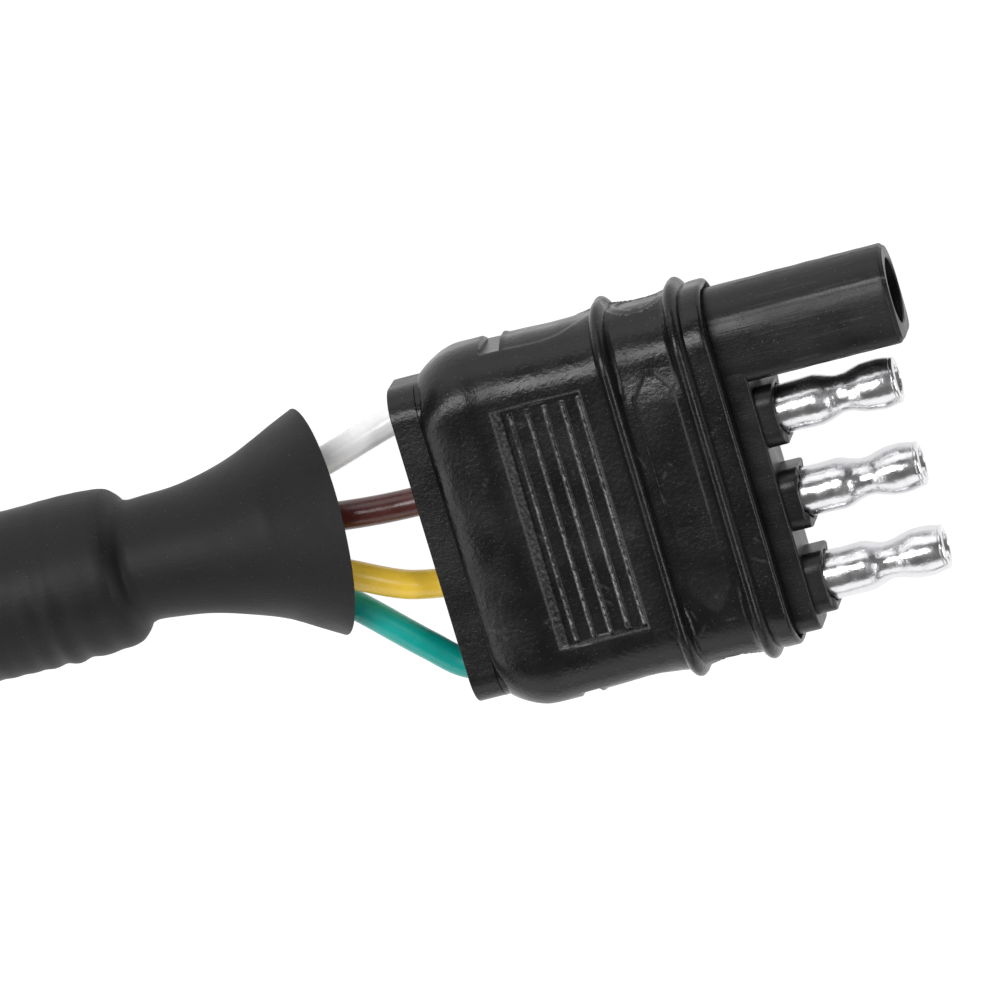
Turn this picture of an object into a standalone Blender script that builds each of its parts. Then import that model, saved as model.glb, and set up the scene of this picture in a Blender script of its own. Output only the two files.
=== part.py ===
"""Flat four-way trailer plug with a short pigtail, one object per separate piece.

X runs along the plug with the contacts towards +X, Y across its width, Z up from the floor.
The plug's middle is at X = Y = 0 and its beads touch the floor. Sizes are in millimetres.
"""

import math

import bmesh
import bpy
import numpy as np
from mathutils import Vector

MM = 0.001

# ---- Driving dimensions -------------------------------------------------------------------

PLUG_LENGTH = 55.7          # rear insert's back face to the long tube's tip
PITCH = 9.6                 # from one contact to the next
BODY_THICKNESS = 14.0
WIRE_RADIUS = 1.62
LOOM_RADIUS = 8.1
PIGTAIL = 305.0             # insert's back face to the bare wire tips
GAP = 0.3                   # air between two pieces that meet
FIT = 0.1                   # air round a terminal in its own bore, both cut with the same facets

BODY_SIDE = 6.1             # body's edge beyond the last contact's axis
BODY_CORNER = 6.0
BODY_LENGTH = 33.0
BODY_FRONT = 7.9            # front lip, from the plug's middle
BEAD_OUT = 1.0              # how far a bead stands off the body
BEAD_WIDTH = 1.7
BEAD_X = (-3.7, 4.6)
SHOULDER = 4.6              # length of the rounded rear shoulder
DRAWN_IN = 0.6              # how far the body's sides draw in behind the first bead

LIP_WALL = 0.7              # body wall beside the carrier's front block
FACE_WALL = 2.65            # body's face to the front block's face
INSERT_WALL = 1.7           # body's face to the rear insert's face
CARRIER_CORNER = 2.5
BLOCK_OUT = 2.55            # front block's face beyond the body's lip
BLOCK_BACK = 2.0            # where the wide front block ends inside the body
CARRIER_BACK = -9.0
CORE_STEP = 0.4             # how much slimmer the carrier is inside the body
INSERT_SIDE = 3.4           # insert's edge beyond the last contact's axis
INSERT_CORNER = 3.4
INSERT_EDGE = 0.5

TUBE_WALL = 0.7
TUBE_STEP = 0.2             # how far the tube stands proud of the block
COLLAR_WALL = 0.65
COLLAR_STEP = 0.3           # collar's face below the block's face
COLLAR_OUT = 2.1
COLLAR_CORNER = 1.4

SOCKET_WALL = 0.55
PIN_OUT = 13.05             # bare length of a pin beyond its collar
PIN_WALL = 1.1
GROOVE_DEPTH = 0.7          # a pin's waist
CRIMP_SHARE = 0.75          # crimp barrel's radius as a share of the pin's
CRIMP_BACK = -6.0
PIN_BACK = 6.0
SOCKET_BACK = 9.0
TERMINAL_STEP = 0.6         # length of the cone from crimp barrel to contact
SOCKET_INSET = 5.85         # socket's front edge behind the tube's tip
COPPER_SHARE = 0.59         # copper's radius as a share of the insulation's
STRIP = 5.6                 # bare conductor inside a crimp

GRIP_X = (-17.2, -7.1)
GRIP_DEPTH = 0.5
GRIP_SLOTS = 5
GRIP_RIB = 0.75
PANEL_X = (-1.8, 3.0)
PANEL_DEPTH = 0.25
NOTCH_X = (-17.2, -14.8)
NOTCH_SHARE = 0.29          # notch's half height as a share of the body's thickness
NOTCH_DEPTH = 1.0

SLEEVE_WALL = 0.6
SLEEVE_LENGTH = 60.0
BUNDLE_AIR = 2.0            # between the gathered wires and the sleeve's waist
SLEEVE_MOUTH = 11.45        # mouth's middle behind the insert's back face
MOUTH_GROWTH = (4.7, 2.4)   # mouth's half width and half height beyond the loom's radius
MOUTH_SLANT = 0.46          # how far the cut mouth leans, per unit of height
MOUTH_TURN = 0.085          # and how far its +Y side leads, per unit of width
REAR_SLEEVE = (205.0, 250.0)
REAR_GROWTH = (1.5, 0.7)
LOOM_START = 35.15          # along the pigtail, from the insert's back face
LOOM_END = 225.0
LOOM_POINTS = 12
TINNED = 8.0
CABLE_Y = 6.2               # where the sleeve and loom lie across the plug's width
CABLE_ROUTE = (             # behind the insert's back face, and sideways from CABLE_Y
    (0.0, 0.0),
    (45.0, 0.0),
    (80.0, -0.2),
    (118.0, -5.0),
    (152.0, -17.5),
    (186.0, -37.0),
    (218.0, -59.5),
    (282.0, -104.0),
)

# Where each wire runs behind the plug: distance behind the insert, then sideways and up from
# the cable's axis, both as shares of the room in the sleeve's mouth. After that its place in
# the two-by-two bundle, in half-pitches.
WIRE_ROUTES = {
    "white": (((9.5, 0.575, 0.085), (18.0, 0.400, 0.255), (25.0, 0.227, 0.208)), (1, 1)),
    "brown": (((9.5, -0.066, 0.0), (18.0, 0.066, -0.076), (25.0, 0.142, -0.161)), (1, -1)),
    "yellow": (
        ((5.0, -0.945, 0.04), (11.0, -0.6, 0.27), (18.0, -0.35, 0.27), (25.0, -0.2, 0.2)),
        (-1, 1),
    ),
    "green": (
        ((4.5, -1.68, -0.057), (11.5, -0.985, 0.038), (18.0, -0.567, -0.132), (25.0, -0.246, -0.18)),
        (-1, -1),
    ),
}
LEAVE = {"white": -0.22, "brown": 0.0, "yellow": 0.15, "green": 0.42}   # sideways, per unit back
TAIL_SIDE = {"white": -17.0, "brown": -6.0, "yellow": 7.0, "green": 19.0}

PROFILE_STEPS = 6           # facets in each rounded corner
ROUND = 24                  # facets round a terminal and its bore

# ---- Sizes that follow from them ----------------------------------------------------------

FRONT = PLUG_LENGTH / 2
REAR = -FRONT
LAST_CONTACT = 1.5 * PITCH
MID_Z = BODY_THICKNESS / 2 + BEAD_OUT
BODY_REAR = BODY_FRONT - BODY_LENGTH
BLOCK_FRONT = BODY_FRONT + BLOCK_OUT
COLLAR_FRONT = BLOCK_FRONT + COLLAR_OUT
PIN_TIP = COLLAR_FRONT + PIN_OUT
HALF = LAST_CONTACT + BODY_SIDE
HALF_T = BODY_THICKNESS / 2
BLOCK_HALF = HALF - LIP_WALL - GAP
BLOCK_T = HALF_T - FACE_WALL
INSERT_HALF = LAST_CONTACT + INSERT_SIDE
INSERT_T = HALF_T - INSERT_WALL
CORE_HALF = INSERT_HALF - CORE_STEP
CORE_T = BLOCK_T - CORE_STEP
INSERT_FRONT = CARRIER_BACK - 1.5 * GAP
CAVITY_STEP = CARRIER_BACK - GAP / 2
TUBE_Y = LAST_CONTACT
TUBE_HALF = BLOCK_HALF - TUBE_Y + TUBE_STEP
TUBE_BORE = BLOCK_T - TUBE_WALL
SOCKET_RADIUS = TUBE_BORE - 2 * FIT
SOCKET_BORE = SOCKET_RADIUS - SOCKET_WALL
PIN_RADIUS = SOCKET_BORE - FIT
PIN_HOLLOW = PIN_RADIUS - PIN_WALL
COLLAR_WIDTH = 2 * (PIN_RADIUS + COLLAR_WALL)
COLLAR_T = BLOCK_T - COLLAR_STEP
CRIMP_RADIUS = CRIMP_SHARE * PIN_RADIUS
COPPER_RADIUS = COPPER_SHARE * WIRE_RADIUS
CRIMP_SLEEVE = max(CRIMP_RADIUS, WIRE_RADIUS) + GAP
GRIP_HALF = LAST_CONTACT - 0.75
NOTCH_HALF = NOTCH_SHARE * BODY_THICKNESS
CABLE_Z = LOOM_RADIUS + GAP + SLEEVE_WALL
MOUTH_ROOM = LOOM_RADIUS + MOUTH_GROWTH[0] - SLEEVE_WALL - WIRE_RADIUS - GAP
BUNDLE = WIRE_RADIUS + GAP / 2
CIRCUITS = {
    "white": LAST_CONTACT,
    "brown": LAST_CONTACT - PITCH,
    "yellow": PITCH - LAST_CONTACT,
    "green": -LAST_CONTACT,
}

# ---- Start empty --------------------------------------------------------------------------

for old in list(bpy.data.objects):
    bpy.data.objects.remove(old, do_unlink=True)


def material(name, colour, rough, metal=0.0):
    made = bpy.data.materials.new(name)
    made.use_nodes = True
    shader = made.node_tree.nodes["Principled BSDF"]
    shader.inputs["Base Color"].default_value = (*colour, 1.0)
    shader.inputs["Roughness"].default_value = rough
    shader.inputs["Metallic"].default_value = metal
    return made


JACKET = material("jacket_pvc", (0.010, 0.010, 0.011), 0.38)
CARRIER = material("carrier_plastic", (0.012, 0.012, 0.013), 0.42)
INSERT = material("insert_plastic", (0.011, 0.011, 0.012), 0.45)
PLATED = material("plated_brass", (0.80, 0.80, 0.82), 0.15, 1.0)
TINNED_COPPER = material("tinned_copper", (0.70, 0.68, 0.66), 0.35, 1.0)
SLEEVE = material("heat_shrink", (0.025, 0.026, 0.028), 0.62)
LOOM = material("split_loom", (0.012, 0.012, 0.012), 0.50)
INSULATION = {
    "white": material("white_pvc", (0.80, 0.80, 0.80), 0.40),
    "brown": material("brown_pvc", (0.070, 0.024, 0.020), 0.35),
    "yellow": material("yellow_pvc", (0.745, 0.507, 0.045), 0.35),
    "green": material("green_pvc", (0.005, 0.325, 0.262), 0.35),
}

# ---- Shapes: each returns (points, faces) in millimetres ----------------------------------


def rounded_ring(x, half_y, half_z, corner, y=0.0, z=None, near_corner=None):
    """A rounded rectangle across X. near_corner rounds the two corners on the -Y side."""
    z = MID_Z if z is None else z
    near_corner = corner if near_corner is None else near_corner
    points = []
    corners = ((1, 1, 0), (-1, 1, 90), (-1, -1, 180), (1, -1, 270))
    for side_y, side_z, start in corners:
        wanted = corner if side_y > 0 else near_corner
        radius = min(wanted, half_y - 0.01, half_z - 0.01)
        for step in range(PROFILE_STEPS + 1):
            angle = math.radians(start + 90 * step / PROFILE_STEPS)
            points.append((
                x,
                y + side_y * (half_y - radius) + radius * math.cos(angle),
                z + side_z * (half_z - radius) + radius * math.sin(angle),
            ))
    return points


def loft(rings, ends):
    """Skin over rings of equal count: "caps" closes both ends, "loop" joins last to first."""
    count = len(rings[0])
    points = [point for ring in rings for point in ring]
    faces = []
    pairs = len(rings) if ends == "loop" else len(rings) - 1
    for i in range(pairs):
        a = i * count
        b = ((i + 1) % len(rings)) * count
        for j in range(count):
            k = (j + 1) % count
            faces.append((a + j, a + k, b + k, b + j))
    if ends == "caps":
        faces.append(tuple(range(count)))
        last = (len(rings) - 1) * count
        faces.append(tuple(range(last, last + count)))
    return points, faces


def lathe(profile, y, z):
    """A closed profile of (x, radius) turned about a line along X; it starts and ends on it."""
    points = [(profile[0][0], y, z)]
    faces = []
    inner = profile[1:-1]
    for x, radius in inner:
        for j in range(ROUND):
            angle = 2 * math.pi * (j + 0.5) / ROUND
            points.append((x, y + radius * math.cos(angle), z + radius * math.sin(angle)))
    points.append((profile[-1][0], y, z))
    last = len(points) - 1
    for j in range(ROUND):
        k = (j + 1) % ROUND
        faces.append((0, 1 + j, 1 + k))
        for i in range(len(inner) - 1):
            a = 1 + i * ROUND
            b = a + ROUND
            faces.append((a + j, b + j, b + k, a + k))
        tail = 1 + (len(inner) - 1) * ROUND
        faces.append((tail + j, last, tail + k))
    return points, faces


def box(x0, x1, y0, y1, z0, z1):
    ring = [(y0, z0), (y1, z0), (y1, z1), (y0, z1)]
    return loft([[(x, y, z) for y, z in ring] for x in (x0, x1)], "caps")


def cylinder(x0, x1, radius, y, z):
    return lathe([(x0, 0), (x0, radius), (x1, radius), (x1, 0)], y, z)


def make(name, shapes, look, smooth=False):
    """One object from closed shapes, turned to face outward, in metres."""
    mesh = bpy.data.meshes.new(name)
    made = bpy.data.objects.new(name, mesh)
    bpy.context.scene.collection.objects.link(made)
    work = bmesh.new()
    for points, faces in shapes:
        corners = [work.verts.new(Vector(point) * MM) for point in points]
        for face in faces:
            work.faces.new([corners[i] for i in face])
    bmesh.ops.recalc_face_normals(work, faces=work.faces)
    for face in work.faces:
        face.smooth = smooth
    work.to_mesh(mesh)
    work.free()
    if look:
        mesh.materials.append(look)
    return made


def apply_tool(target, name, shapes, operation):
    """Cut or join hidden shapes with a Boolean modifier."""
    tool = make(name, shapes, None)
    tool.hide_render = True
    tool.display_type = "WIRE"
    step = target.modifiers.new(name, "BOOLEAN")
    step.operation = operation
    step.solver = "EXACT"
    step.object = tool


# ---- Overmould body -----------------------------------------------------------------------


def body_sections():
    """(x, inset of the sides, inset of the broad faces) from the rear edge to the front lip."""
    back = BODY_REAR
    rows = [
        (back, 2.0, 1.0),
        (back + 0.13 * SHOULDER, 1.4, 0.45),
        (back + 0.39 * SHOULDER, 0.7, 0.1),
        (back + 0.75 * SHOULDER, 0.1, 0.0),
        (back + 1.3 * SHOULDER, 0.0, 0.1),
        (GRIP_X[1] - 2.0, DRAWN_IN, 0.1),
    ]
    for bead in BEAD_X:
        for along, out in ((-1.0, 0.0), (-0.7, 0.7), (0.0, 1.0), (0.7, 0.7), (1.0, 0.0)):
            rows.append((bead + along * BEAD_WIDTH / 2, -out * BEAD_OUT, -out * BEAD_OUT))
    rows.append((BODY_FRONT - 0.5, 0.0, 0.0))
    rows.append((BODY_FRONT, 0.35, 0.5))
    return rows


def make_body():
    rings = []
    for x, side, face in body_sections():
        rings.append(rounded_ring(x, HALF - side, HALF_T - face, BODY_CORNER - min(side, face)))
    block = (BLOCK_HALF + GAP, BLOCK_T + GAP)
    core = (CORE_HALF + GAP, CORE_T + GAP)
    pocket = (INSERT_HALF + GAP, INSERT_T + GAP)
    hollow = (
        (BODY_FRONT, block, CARRIER_CORNER),
        (BLOCK_BACK - GAP, block, CARRIER_CORNER),
        (BLOCK_BACK - GAP, core, CARRIER_CORNER),
        (CAVITY_STEP, core, CARRIER_CORNER),
        (CAVITY_STEP, pocket, INSERT_CORNER),
        (BODY_REAR, pocket, INSERT_CORNER),
    )
    for x, (half_y, half_z), corner in hollow:
        rings.append(rounded_ring(x, half_y, half_z, corner))
    body = make("overmould_body", [loft(rings, "loop")], JACKET)
    cuts = []
    pitch = (GRIP_X[1] - GRIP_X[0] + GRIP_RIB) / GRIP_SLOTS
    for side in (-1, 1):
        face = MID_Z + side * HALF_T
        deep = face - side * (GRIP_DEPTH + 0.1)
        low, high = sorted((deep, face + side))
        for slot in range(GRIP_SLOTS):
            x = GRIP_X[0] + slot * pitch
            cuts.append(box(x, x + pitch - GRIP_RIB, -GRIP_HALF, GRIP_HALF, low, high))
        low, high = sorted((face - side * PANEL_DEPTH, face + side))
        cuts.append(box(*PANEL_X, -GRIP_HALF, GRIP_HALF, low, high))
        low, high = sorted((side * (HALF - NOTCH_DEPTH), side * (HALF + 1)))
        cuts.append(box(*NOTCH_X, low, high, MID_Z - NOTCH_HALF, MID_Z + NOTCH_HALF))
    apply_tool(body, "cut_grip_and_marks", cuts, "DIFFERENCE")


# ---- Contact carrier and rear insert ------------------------------------------------------


def make_carrier():
    rings = []
    for x, half_y, half_z in (
        (CARRIER_BACK, CORE_HALF, CORE_T),
        (BLOCK_BACK, CORE_HALF, CORE_T),
        (BLOCK_BACK, BLOCK_HALF, BLOCK_T),
        (BLOCK_FRONT, BLOCK_HALF, BLOCK_T),
    ):
        rings.append(rounded_ring(x, half_y, half_z, CARRIER_CORNER))
    carrier = make("contact_carrier", [loft(rings, "caps")], CARRIER)
    root = BLOCK_FRONT - 1.0
    tube = []
    for x, inset in ((BODY_FRONT + GAP, 0.0), (FRONT - 0.4, 0.0), (FRONT, 0.3)):
        half_z = BLOCK_T + TUBE_STEP - inset
        tube.append(
            rounded_ring(x, TUBE_HALF - inset, half_z, 4.2, y=TUBE_Y, near_corner=1.2)
        )
    front = [loft(tube, "caps")]
    for name, y in CIRCUITS.items():
        if name == "white":
            continue
        half = (COLLAR_WIDTH / 2, COLLAR_T)
        collar = [rounded_ring(x, *half, COLLAR_CORNER, y=y) for x in (root, COLLAR_FRONT)]
        front.append(loft(collar, "caps"))
    apply_tool(carrier, "add_tube_and_collars", front, "UNION")
    bores = []
    for name, y in CIRCUITS.items():
        step = (SOCKET_BACK if name == "white" else PIN_BACK) - TERMINAL_STEP - GAP
        radius = TUBE_BORE if name == "white" else PIN_RADIUS + FIT
        bores.append(lathe(
            [
                (CARRIER_BACK - 1, 0),
                (CARRIER_BACK - 1, CRIMP_SLEEVE),
                (step, CRIMP_SLEEVE),
                (step, radius),
                (FRONT + 1, radius),
                (FRONT + 1, 0),
            ],
            y,
            MID_Z,
        ))
    apply_tool(carrier, "cut_terminal_bores", bores, "DIFFERENCE")


def make_insert():
    rings = []
    for x, inset in ((REAR, INSERT_EDGE), (REAR + 0.2, 0.17), (REAR + INSERT_EDGE, 0.0)):
        rings.append(
            rounded_ring(x, INSERT_HALF - inset, INSERT_T - inset, INSERT_CORNER)
        )
    rings.append(rounded_ring(INSERT_FRONT, INSERT_HALF, INSERT_T, INSERT_CORNER))
    insert = make("rear_insert", [loft(rings, "caps")], INSERT)
    bores = []
    for y in CIRCUITS.values():
        bores.append(
            cylinder(REAR - 1, INSERT_FRONT + 1, WIRE_RADIUS + GAP, y, MID_Z)
        )
    apply_tool(insert, "cut_wire_bores", bores, "DIFFERENCE")


# ---- Terminals ----------------------------------------------------------------------------


def crimp_profile(step, radius):
    """The outside of the crimp barrel and the step up to the contact, rear to front."""
    return [(CRIMP_BACK, COPPER_RADIUS + FIT), (CRIMP_BACK, CRIMP_RADIUS),
            (step - TERMINAL_STEP, CRIMP_RADIUS), (step, radius)]


def make_terminals():
    groove = COLLAR_FRONT + 0.52 * PIN_OUT
    blind = CRIMP_BACK + STRIP + GAP
    back = [(blind, 0), (blind, COPPER_RADIUS + FIT)]
    pin = back + crimp_profile(PIN_BACK, PIN_RADIUS) + [
        (groove - 2.6, PIN_RADIUS),
        (groove - 1.6, PIN_RADIUS - 0.35 * GROOVE_DEPTH),
        (groove - 0.5, PIN_RADIUS - GROOVE_DEPTH),
        (groove + 0.5, PIN_RADIUS - GROOVE_DEPTH),
        (groove + 2.0, PIN_RADIUS - 0.35 * GROOVE_DEPTH),
        (groove + 3.4, PIN_RADIUS),
        (PIN_TIP - 1.0, PIN_RADIUS),
        (PIN_TIP, PIN_RADIUS - 0.5),
        (PIN_TIP, PIN_HOLLOW),
        (PIN_BACK + 2.0, PIN_HOLLOW),
        (PIN_BACK + 2.0, 0),
    ]
    mouth = FRONT - SOCKET_INSET
    socket = back + crimp_profile(SOCKET_BACK, SOCKET_RADIUS) + [
        (mouth, SOCKET_RADIUS),
        (mouth, SOCKET_BORE + 0.2),
        (mouth - 0.5, SOCKET_BORE),
        (SOCKET_BACK + 1.5, SOCKET_BORE),
        (SOCKET_BACK + 1.5, 0),
    ]
    for name, y in CIRCUITS.items():
        if name == "white":
            make(name + "_female_terminal", [lathe(socket, y, MID_Z)], PLATED, True)
        else:
            make(name + "_male_terminal", [lathe(pin, y, MID_Z)], PLATED, True)
        copper = cylinder(CRIMP_BACK, CRIMP_BACK + STRIP, COPPER_RADIUS, y, MID_Z)
        make(name + "_conductor", [copper], TINNED_COPPER, True)


# ---- Pigtail ------------------------------------------------------------------------------


def smooth_through(route, first, last, per_leg):
    """A smooth curve through hand-chosen points that leaves and arrives in given directions."""
    points = np.array(route, dtype=float)
    spans = np.linalg.norm(np.diff(points, axis=0), axis=1)
    slopes = np.empty_like(points)
    slopes[1:-1] = (points[2:] - points[:-2]) / (spans[1:] + spans[:-1])[:, None]
    slopes[0] = first
    slopes[-1] = last
    out = [points[0]]
    for i, span in enumerate(spans):
        for step in range(1, per_leg + 1):
            t = step / per_leg
            out.append(
                points[i] * (2 * t**3 - 3 * t**2 + 1)
                + slopes[i] * span * (t**3 - 2 * t**2 + t)
                + points[i + 1] * (3 * t**2 - 2 * t**3)
                + slopes[i + 1] * span * (t**3 - t**2)
            )
    return out


ROUTE = [(REAR - back, CABLE_Y + side, 0.0) for back, side in CABLE_ROUTE]
CENTRE_LINE = np.array(smooth_through(
    ROUTE, (-1.0, 0.0, 0.0), np.subtract(ROUTE[-1], ROUTE[-2]) / math.dist(ROUTE[-1], ROUTE[-2]), 24
))
ARC = np.concatenate(([0.0], np.cumsum(np.linalg.norm(np.diff(CENTRE_LINE, axis=0), axis=1))))


def along_cable(s):
    """Point and heading at a distance s along the cable's centre line."""
    x, y = (np.interp(s, ARC, CENTRE_LINE[:, axis]) for axis in (0, 1))
    ahead = [np.interp(s + 0.5, ARC, CENTRE_LINE[:, axis]) for axis in (0, 1)]
    behind = [np.interp(s - 0.5, ARC, CENTRE_LINE[:, axis]) for axis in (0, 1)]
    return x, y, math.atan2(ahead[1] - behind[1], ahead[0] - behind[0])


def beside_cable(s, side, z):
    """A point offset to the cable's own left, at a height above the floor."""
    x, y, heading = along_cable(s)
    return (x - side * math.sin(heading), y + side * math.cos(heading), z)


def cord(name, points, radius, resolution, look):
    curve = bpy.data.curves.new(name, "CURVE")
    curve.dimensions = "3D"
    curve.bevel_depth = radius * MM
    curve.bevel_resolution = resolution
    curve.use_fill_caps = True
    line = curve.splines.new("POLY")
    line.points.add(len(points) - 1)
    for slot, point in zip(line.points, points):
        slot.co = (*(Vector(point) * MM), 1.0)
    curve.materials.append(look)
    bpy.context.scene.collection.objects.link(bpy.data.objects.new(name, curve))


def make_wires():
    """The four wires from crimp to bundle, and the four tails beyond the rear sleeve."""
    backwards = (-1.0, 0.0, 0.0)
    bundle_at = LOOM_START - 5.0
    tail_reach = PIGTAIL - TINNED
    for name, y in CIRCUITS.items():
        look = INSULATION[name]
        route, (across, up) = WIRE_ROUTES[name]
        start = [(CRIMP_BACK - GAP, y, MID_Z), (REAR / 2, y, MID_Z)]
        leave = (REAR - 0.6, y, MID_Z)
        packed_y = CABLE_Y + across * BUNDLE
        packed_z = CABLE_Z + up * BUNDLE
        ends = [(REAR - s, packed_y, packed_z) for s in (bundle_at, LOOM_START - GAP)]
        middle = [
            (REAR - s, CABLE_Y + side * MOUTH_ROOM, CABLE_Z + rise * MOUTH_ROOM)
            for s, side, rise in route
        ]
        through = [leave] + middle + ends
        slanted = (-1.0, LEAVE[name], 0.0)
        bent = smooth_through(through, slanted, backwards, 2)
        cord(name + "_wire", start + bent, WIRE_RADIUS, 2, look)

        # A tail starts where the loom ends, spreads in the rear sleeve and drops to the floor.
        _, _, heading = along_cable(LOOM_END)
        ahead = (math.cos(heading), math.sin(heading), 0.0)
        end_side = TAIL_SIDE[name]
        first_side = -across * BUNDLE
        tail = [
            beside_cable(LOOM_END + GAP, first_side, packed_z),
            beside_cable(LOOM_END + 8, first_side, packed_z),
            beside_cable(LOOM_END + 22, first_side + 0.12 * end_side, packed_z - 0.6),
            beside_cable(LOOM_END + 42, 0.55 * end_side, WIRE_RADIUS + 0.30 * packed_z),
            beside_cable(LOOM_END + 58, 0.85 * end_side, WIRE_RADIUS + GAP),
            beside_cable(tail_reach, end_side, WIRE_RADIUS + GAP / 2),
        ]
        cord(name + "_tail", smooth_through(tail, ahead, ahead, 2), WIRE_RADIUS, 2, look)
        tip = np.array(beside_cable(tail_reach, end_side, WIRE_RADIUS + GAP / 2))
        way = np.array(ahead)
        bare = [tip + way * GAP, tip + way * TINNED]
        cord(name + "_tail_strands", bare, COPPER_RADIUS, 2, TINNED_COPPER)


def make_loom():
    points = []
    for s in np.linspace(LOOM_START, LOOM_END, LOOM_POINTS):
        x, y, _ = along_cable(s)
        points.append((x, y, CABLE_Z))
    cord("loom", points, LOOM_RADIUS, 4, LOOM)


def oval_ring(centre, heading, half, up, slant, turn):
    """An oval across the cable. slant and turn tip it so that its top and one side lead."""
    ring = []
    for j in range(ROUND):
        angle = 2 * math.pi * j / ROUND
        side = half[0] * math.cos(angle)
        rise = half[1] * math.sin(angle)
        back = turn * side - slant * rise
        ring.append((
            centre[0] - side * math.sin(heading) + back * math.cos(heading),
            centre[1] + side * math.cos(heading) + back * math.sin(heading),
            up + rise,
        ))
    return ring


def sleeve_rings(mouth, loom_edge, far_end, flare, slant, turn):
    """Outside, then inside, of a sleeve that flares at its mouth and grips the loom.

    mouth, loom_edge and far_end are places along the cable; flare is (half width, half
    height) of the mouth. The narrow waist lies just before the loom's end.
    """
    big = LOOM_RADIUS + GAP + SLEEVE_WALL
    small = math.sqrt(2) * BUNDLE + WIRE_RADIUS + BUNDLE_AIR + SLEEVE_WALL
    way = 1 if loom_edge > mouth else -1
    waist = loom_edge - way * 2.6
    rows = []
    for t, open_share in ((0.0, 1.0), (0.13, 0.74), (0.28, 0.50), (0.48, 0.24), (0.7, 0.09), (1.0, 0.0)):
        at = mouth + t * (waist - mouth)
        half_side = small + open_share * (flare[0] - small)
        half_up = small + open_share * (flare[1] - small)
        rows.append((at, half_side, half_up, open_share))
    for back, share in ((1.5, 0.3), (0.7, 0.75), (-0.3, 0.97), (-2.0, 1.0)):
        size = small + share * (big - small)
        rows.append((loom_edge - way * back, size, size, 0.0))
    rows.append((far_end, big, big, 0.0))

    def rings(inset):
        made = []
        for at, half_side, half_up, tip in rows:
            x, y, heading = along_cable(at)
            up = max(CABLE_Z, half_up + GAP / 3)
            half = (half_side - inset, half_up - inset)
            lean = way * slant * tip
            made.append(oval_ring((x, y), heading, half, up, lean, way * turn * tip))
        return made

    return rings(0.0) + rings(SLEEVE_WALL)[::-1]


def make_sleeves():
    flare = [LOOM_RADIUS + growth for growth in MOUTH_GROWTH]
    far_end = SLEEVE_MOUTH + SLEEVE_LENGTH
    front = sleeve_rings(SLEEVE_MOUTH, LOOM_START, far_end, flare, MOUTH_SLANT, MOUTH_TURN)
    make("front_sleeve", [loft(front, "loop")], SLEEVE, True)
    flare = [LOOM_RADIUS + growth for growth in REAR_GROWTH]
    rear = sleeve_rings(REAR_SLEEVE[1], LOOM_END, REAR_SLEEVE[0], flare, 0.0, 0.0)
    make("rear_sleeve", [loft(rear, "loop")], SLEEVE, True)


make_body()
make_carrier()
make_insert()
make_terminals()
make_wires()
make_loom()
make_sleeves()
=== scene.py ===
import math
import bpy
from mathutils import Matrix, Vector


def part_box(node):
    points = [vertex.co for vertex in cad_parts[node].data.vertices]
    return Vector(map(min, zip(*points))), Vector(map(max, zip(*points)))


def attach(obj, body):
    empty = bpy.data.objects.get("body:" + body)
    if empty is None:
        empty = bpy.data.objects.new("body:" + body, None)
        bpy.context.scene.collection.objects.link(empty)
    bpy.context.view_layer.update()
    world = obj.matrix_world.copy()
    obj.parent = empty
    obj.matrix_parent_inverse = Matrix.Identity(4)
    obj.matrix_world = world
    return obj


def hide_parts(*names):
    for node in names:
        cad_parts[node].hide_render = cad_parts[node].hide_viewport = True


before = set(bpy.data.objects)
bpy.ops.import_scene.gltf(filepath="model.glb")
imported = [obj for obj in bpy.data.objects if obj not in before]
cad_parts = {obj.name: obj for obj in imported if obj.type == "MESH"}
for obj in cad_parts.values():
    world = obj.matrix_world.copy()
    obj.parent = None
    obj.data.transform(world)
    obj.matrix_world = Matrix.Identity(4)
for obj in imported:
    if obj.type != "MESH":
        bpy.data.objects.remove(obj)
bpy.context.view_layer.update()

from types import SimpleNamespace

import bpy
import numpy as np
from mathutils import Matrix, Vector

bl_info = {
    "name": "Flat Trailer Plug",
    "version": (1, 0, 0),
    "blender": (4, 5, 0),
    "location": "View3D > Sidebar > Trailer Plug",
    "description": "A flat trailer light plug with its wires, loom and shrink sleeves",
    "category": "Add Mesh",
}

MM = 0.001
BODY = "root"


def cad(node):
    """A CAD node's lowest and highest corners in millimetres."""
    return [[float(v) / MM for v in corner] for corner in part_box(node)]


JACKET_LOW, JACKET_HIGH = cad("overmould_body")
INSERT_LOW, INSERT_HIGH = cad("rear_insert")
PIN_LOW, PIN_HIGH = cad("brown_male_terminal")
NEXT_LOW, NEXT_HIGH = cad("yellow_male_terminal")

PITCH = (PIN_LOW[1] + PIN_HIGH[1] - NEXT_LOW[1] - NEXT_HIGH[1]) / 2
MID_Z = (JACKET_LOW[2] + JACKET_HIGH[2]) / 2
PLACES = (("white", 1.5), ("brown", 0.5), ("yellow", -0.5), ("green", -1.5))
CIRCUITS = {name: share * PITCH for name, share in PLACES}
REAR = INSERT_LOW[0]
TUBE_TIP = cad("contact_carrier")[1][0]
SOCKET_MOUTH = cad("white_female_terminal")[1][0]
BLOCK_FACE = 10.45


def linear(hex_colour):
    """An sRGB hex colour as linear red, green and blue."""
    parts = [int(hex_colour[i:i + 2], 16) / 255 for i in (1, 3, 5)]
    return tuple(p / 12.92 if p <= 0.04045 else ((p + 0.055) / 1.055) ** 2.4 for p in parts)


# ---- Settings ----------------------------------------------------------------------------


def length(name, description, millimetres):
    return bpy.props.FloatProperty(
        name=name, description=description, default=millimetres * MM, subtype="DISTANCE",
        unit="LENGTH",
    )


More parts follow.
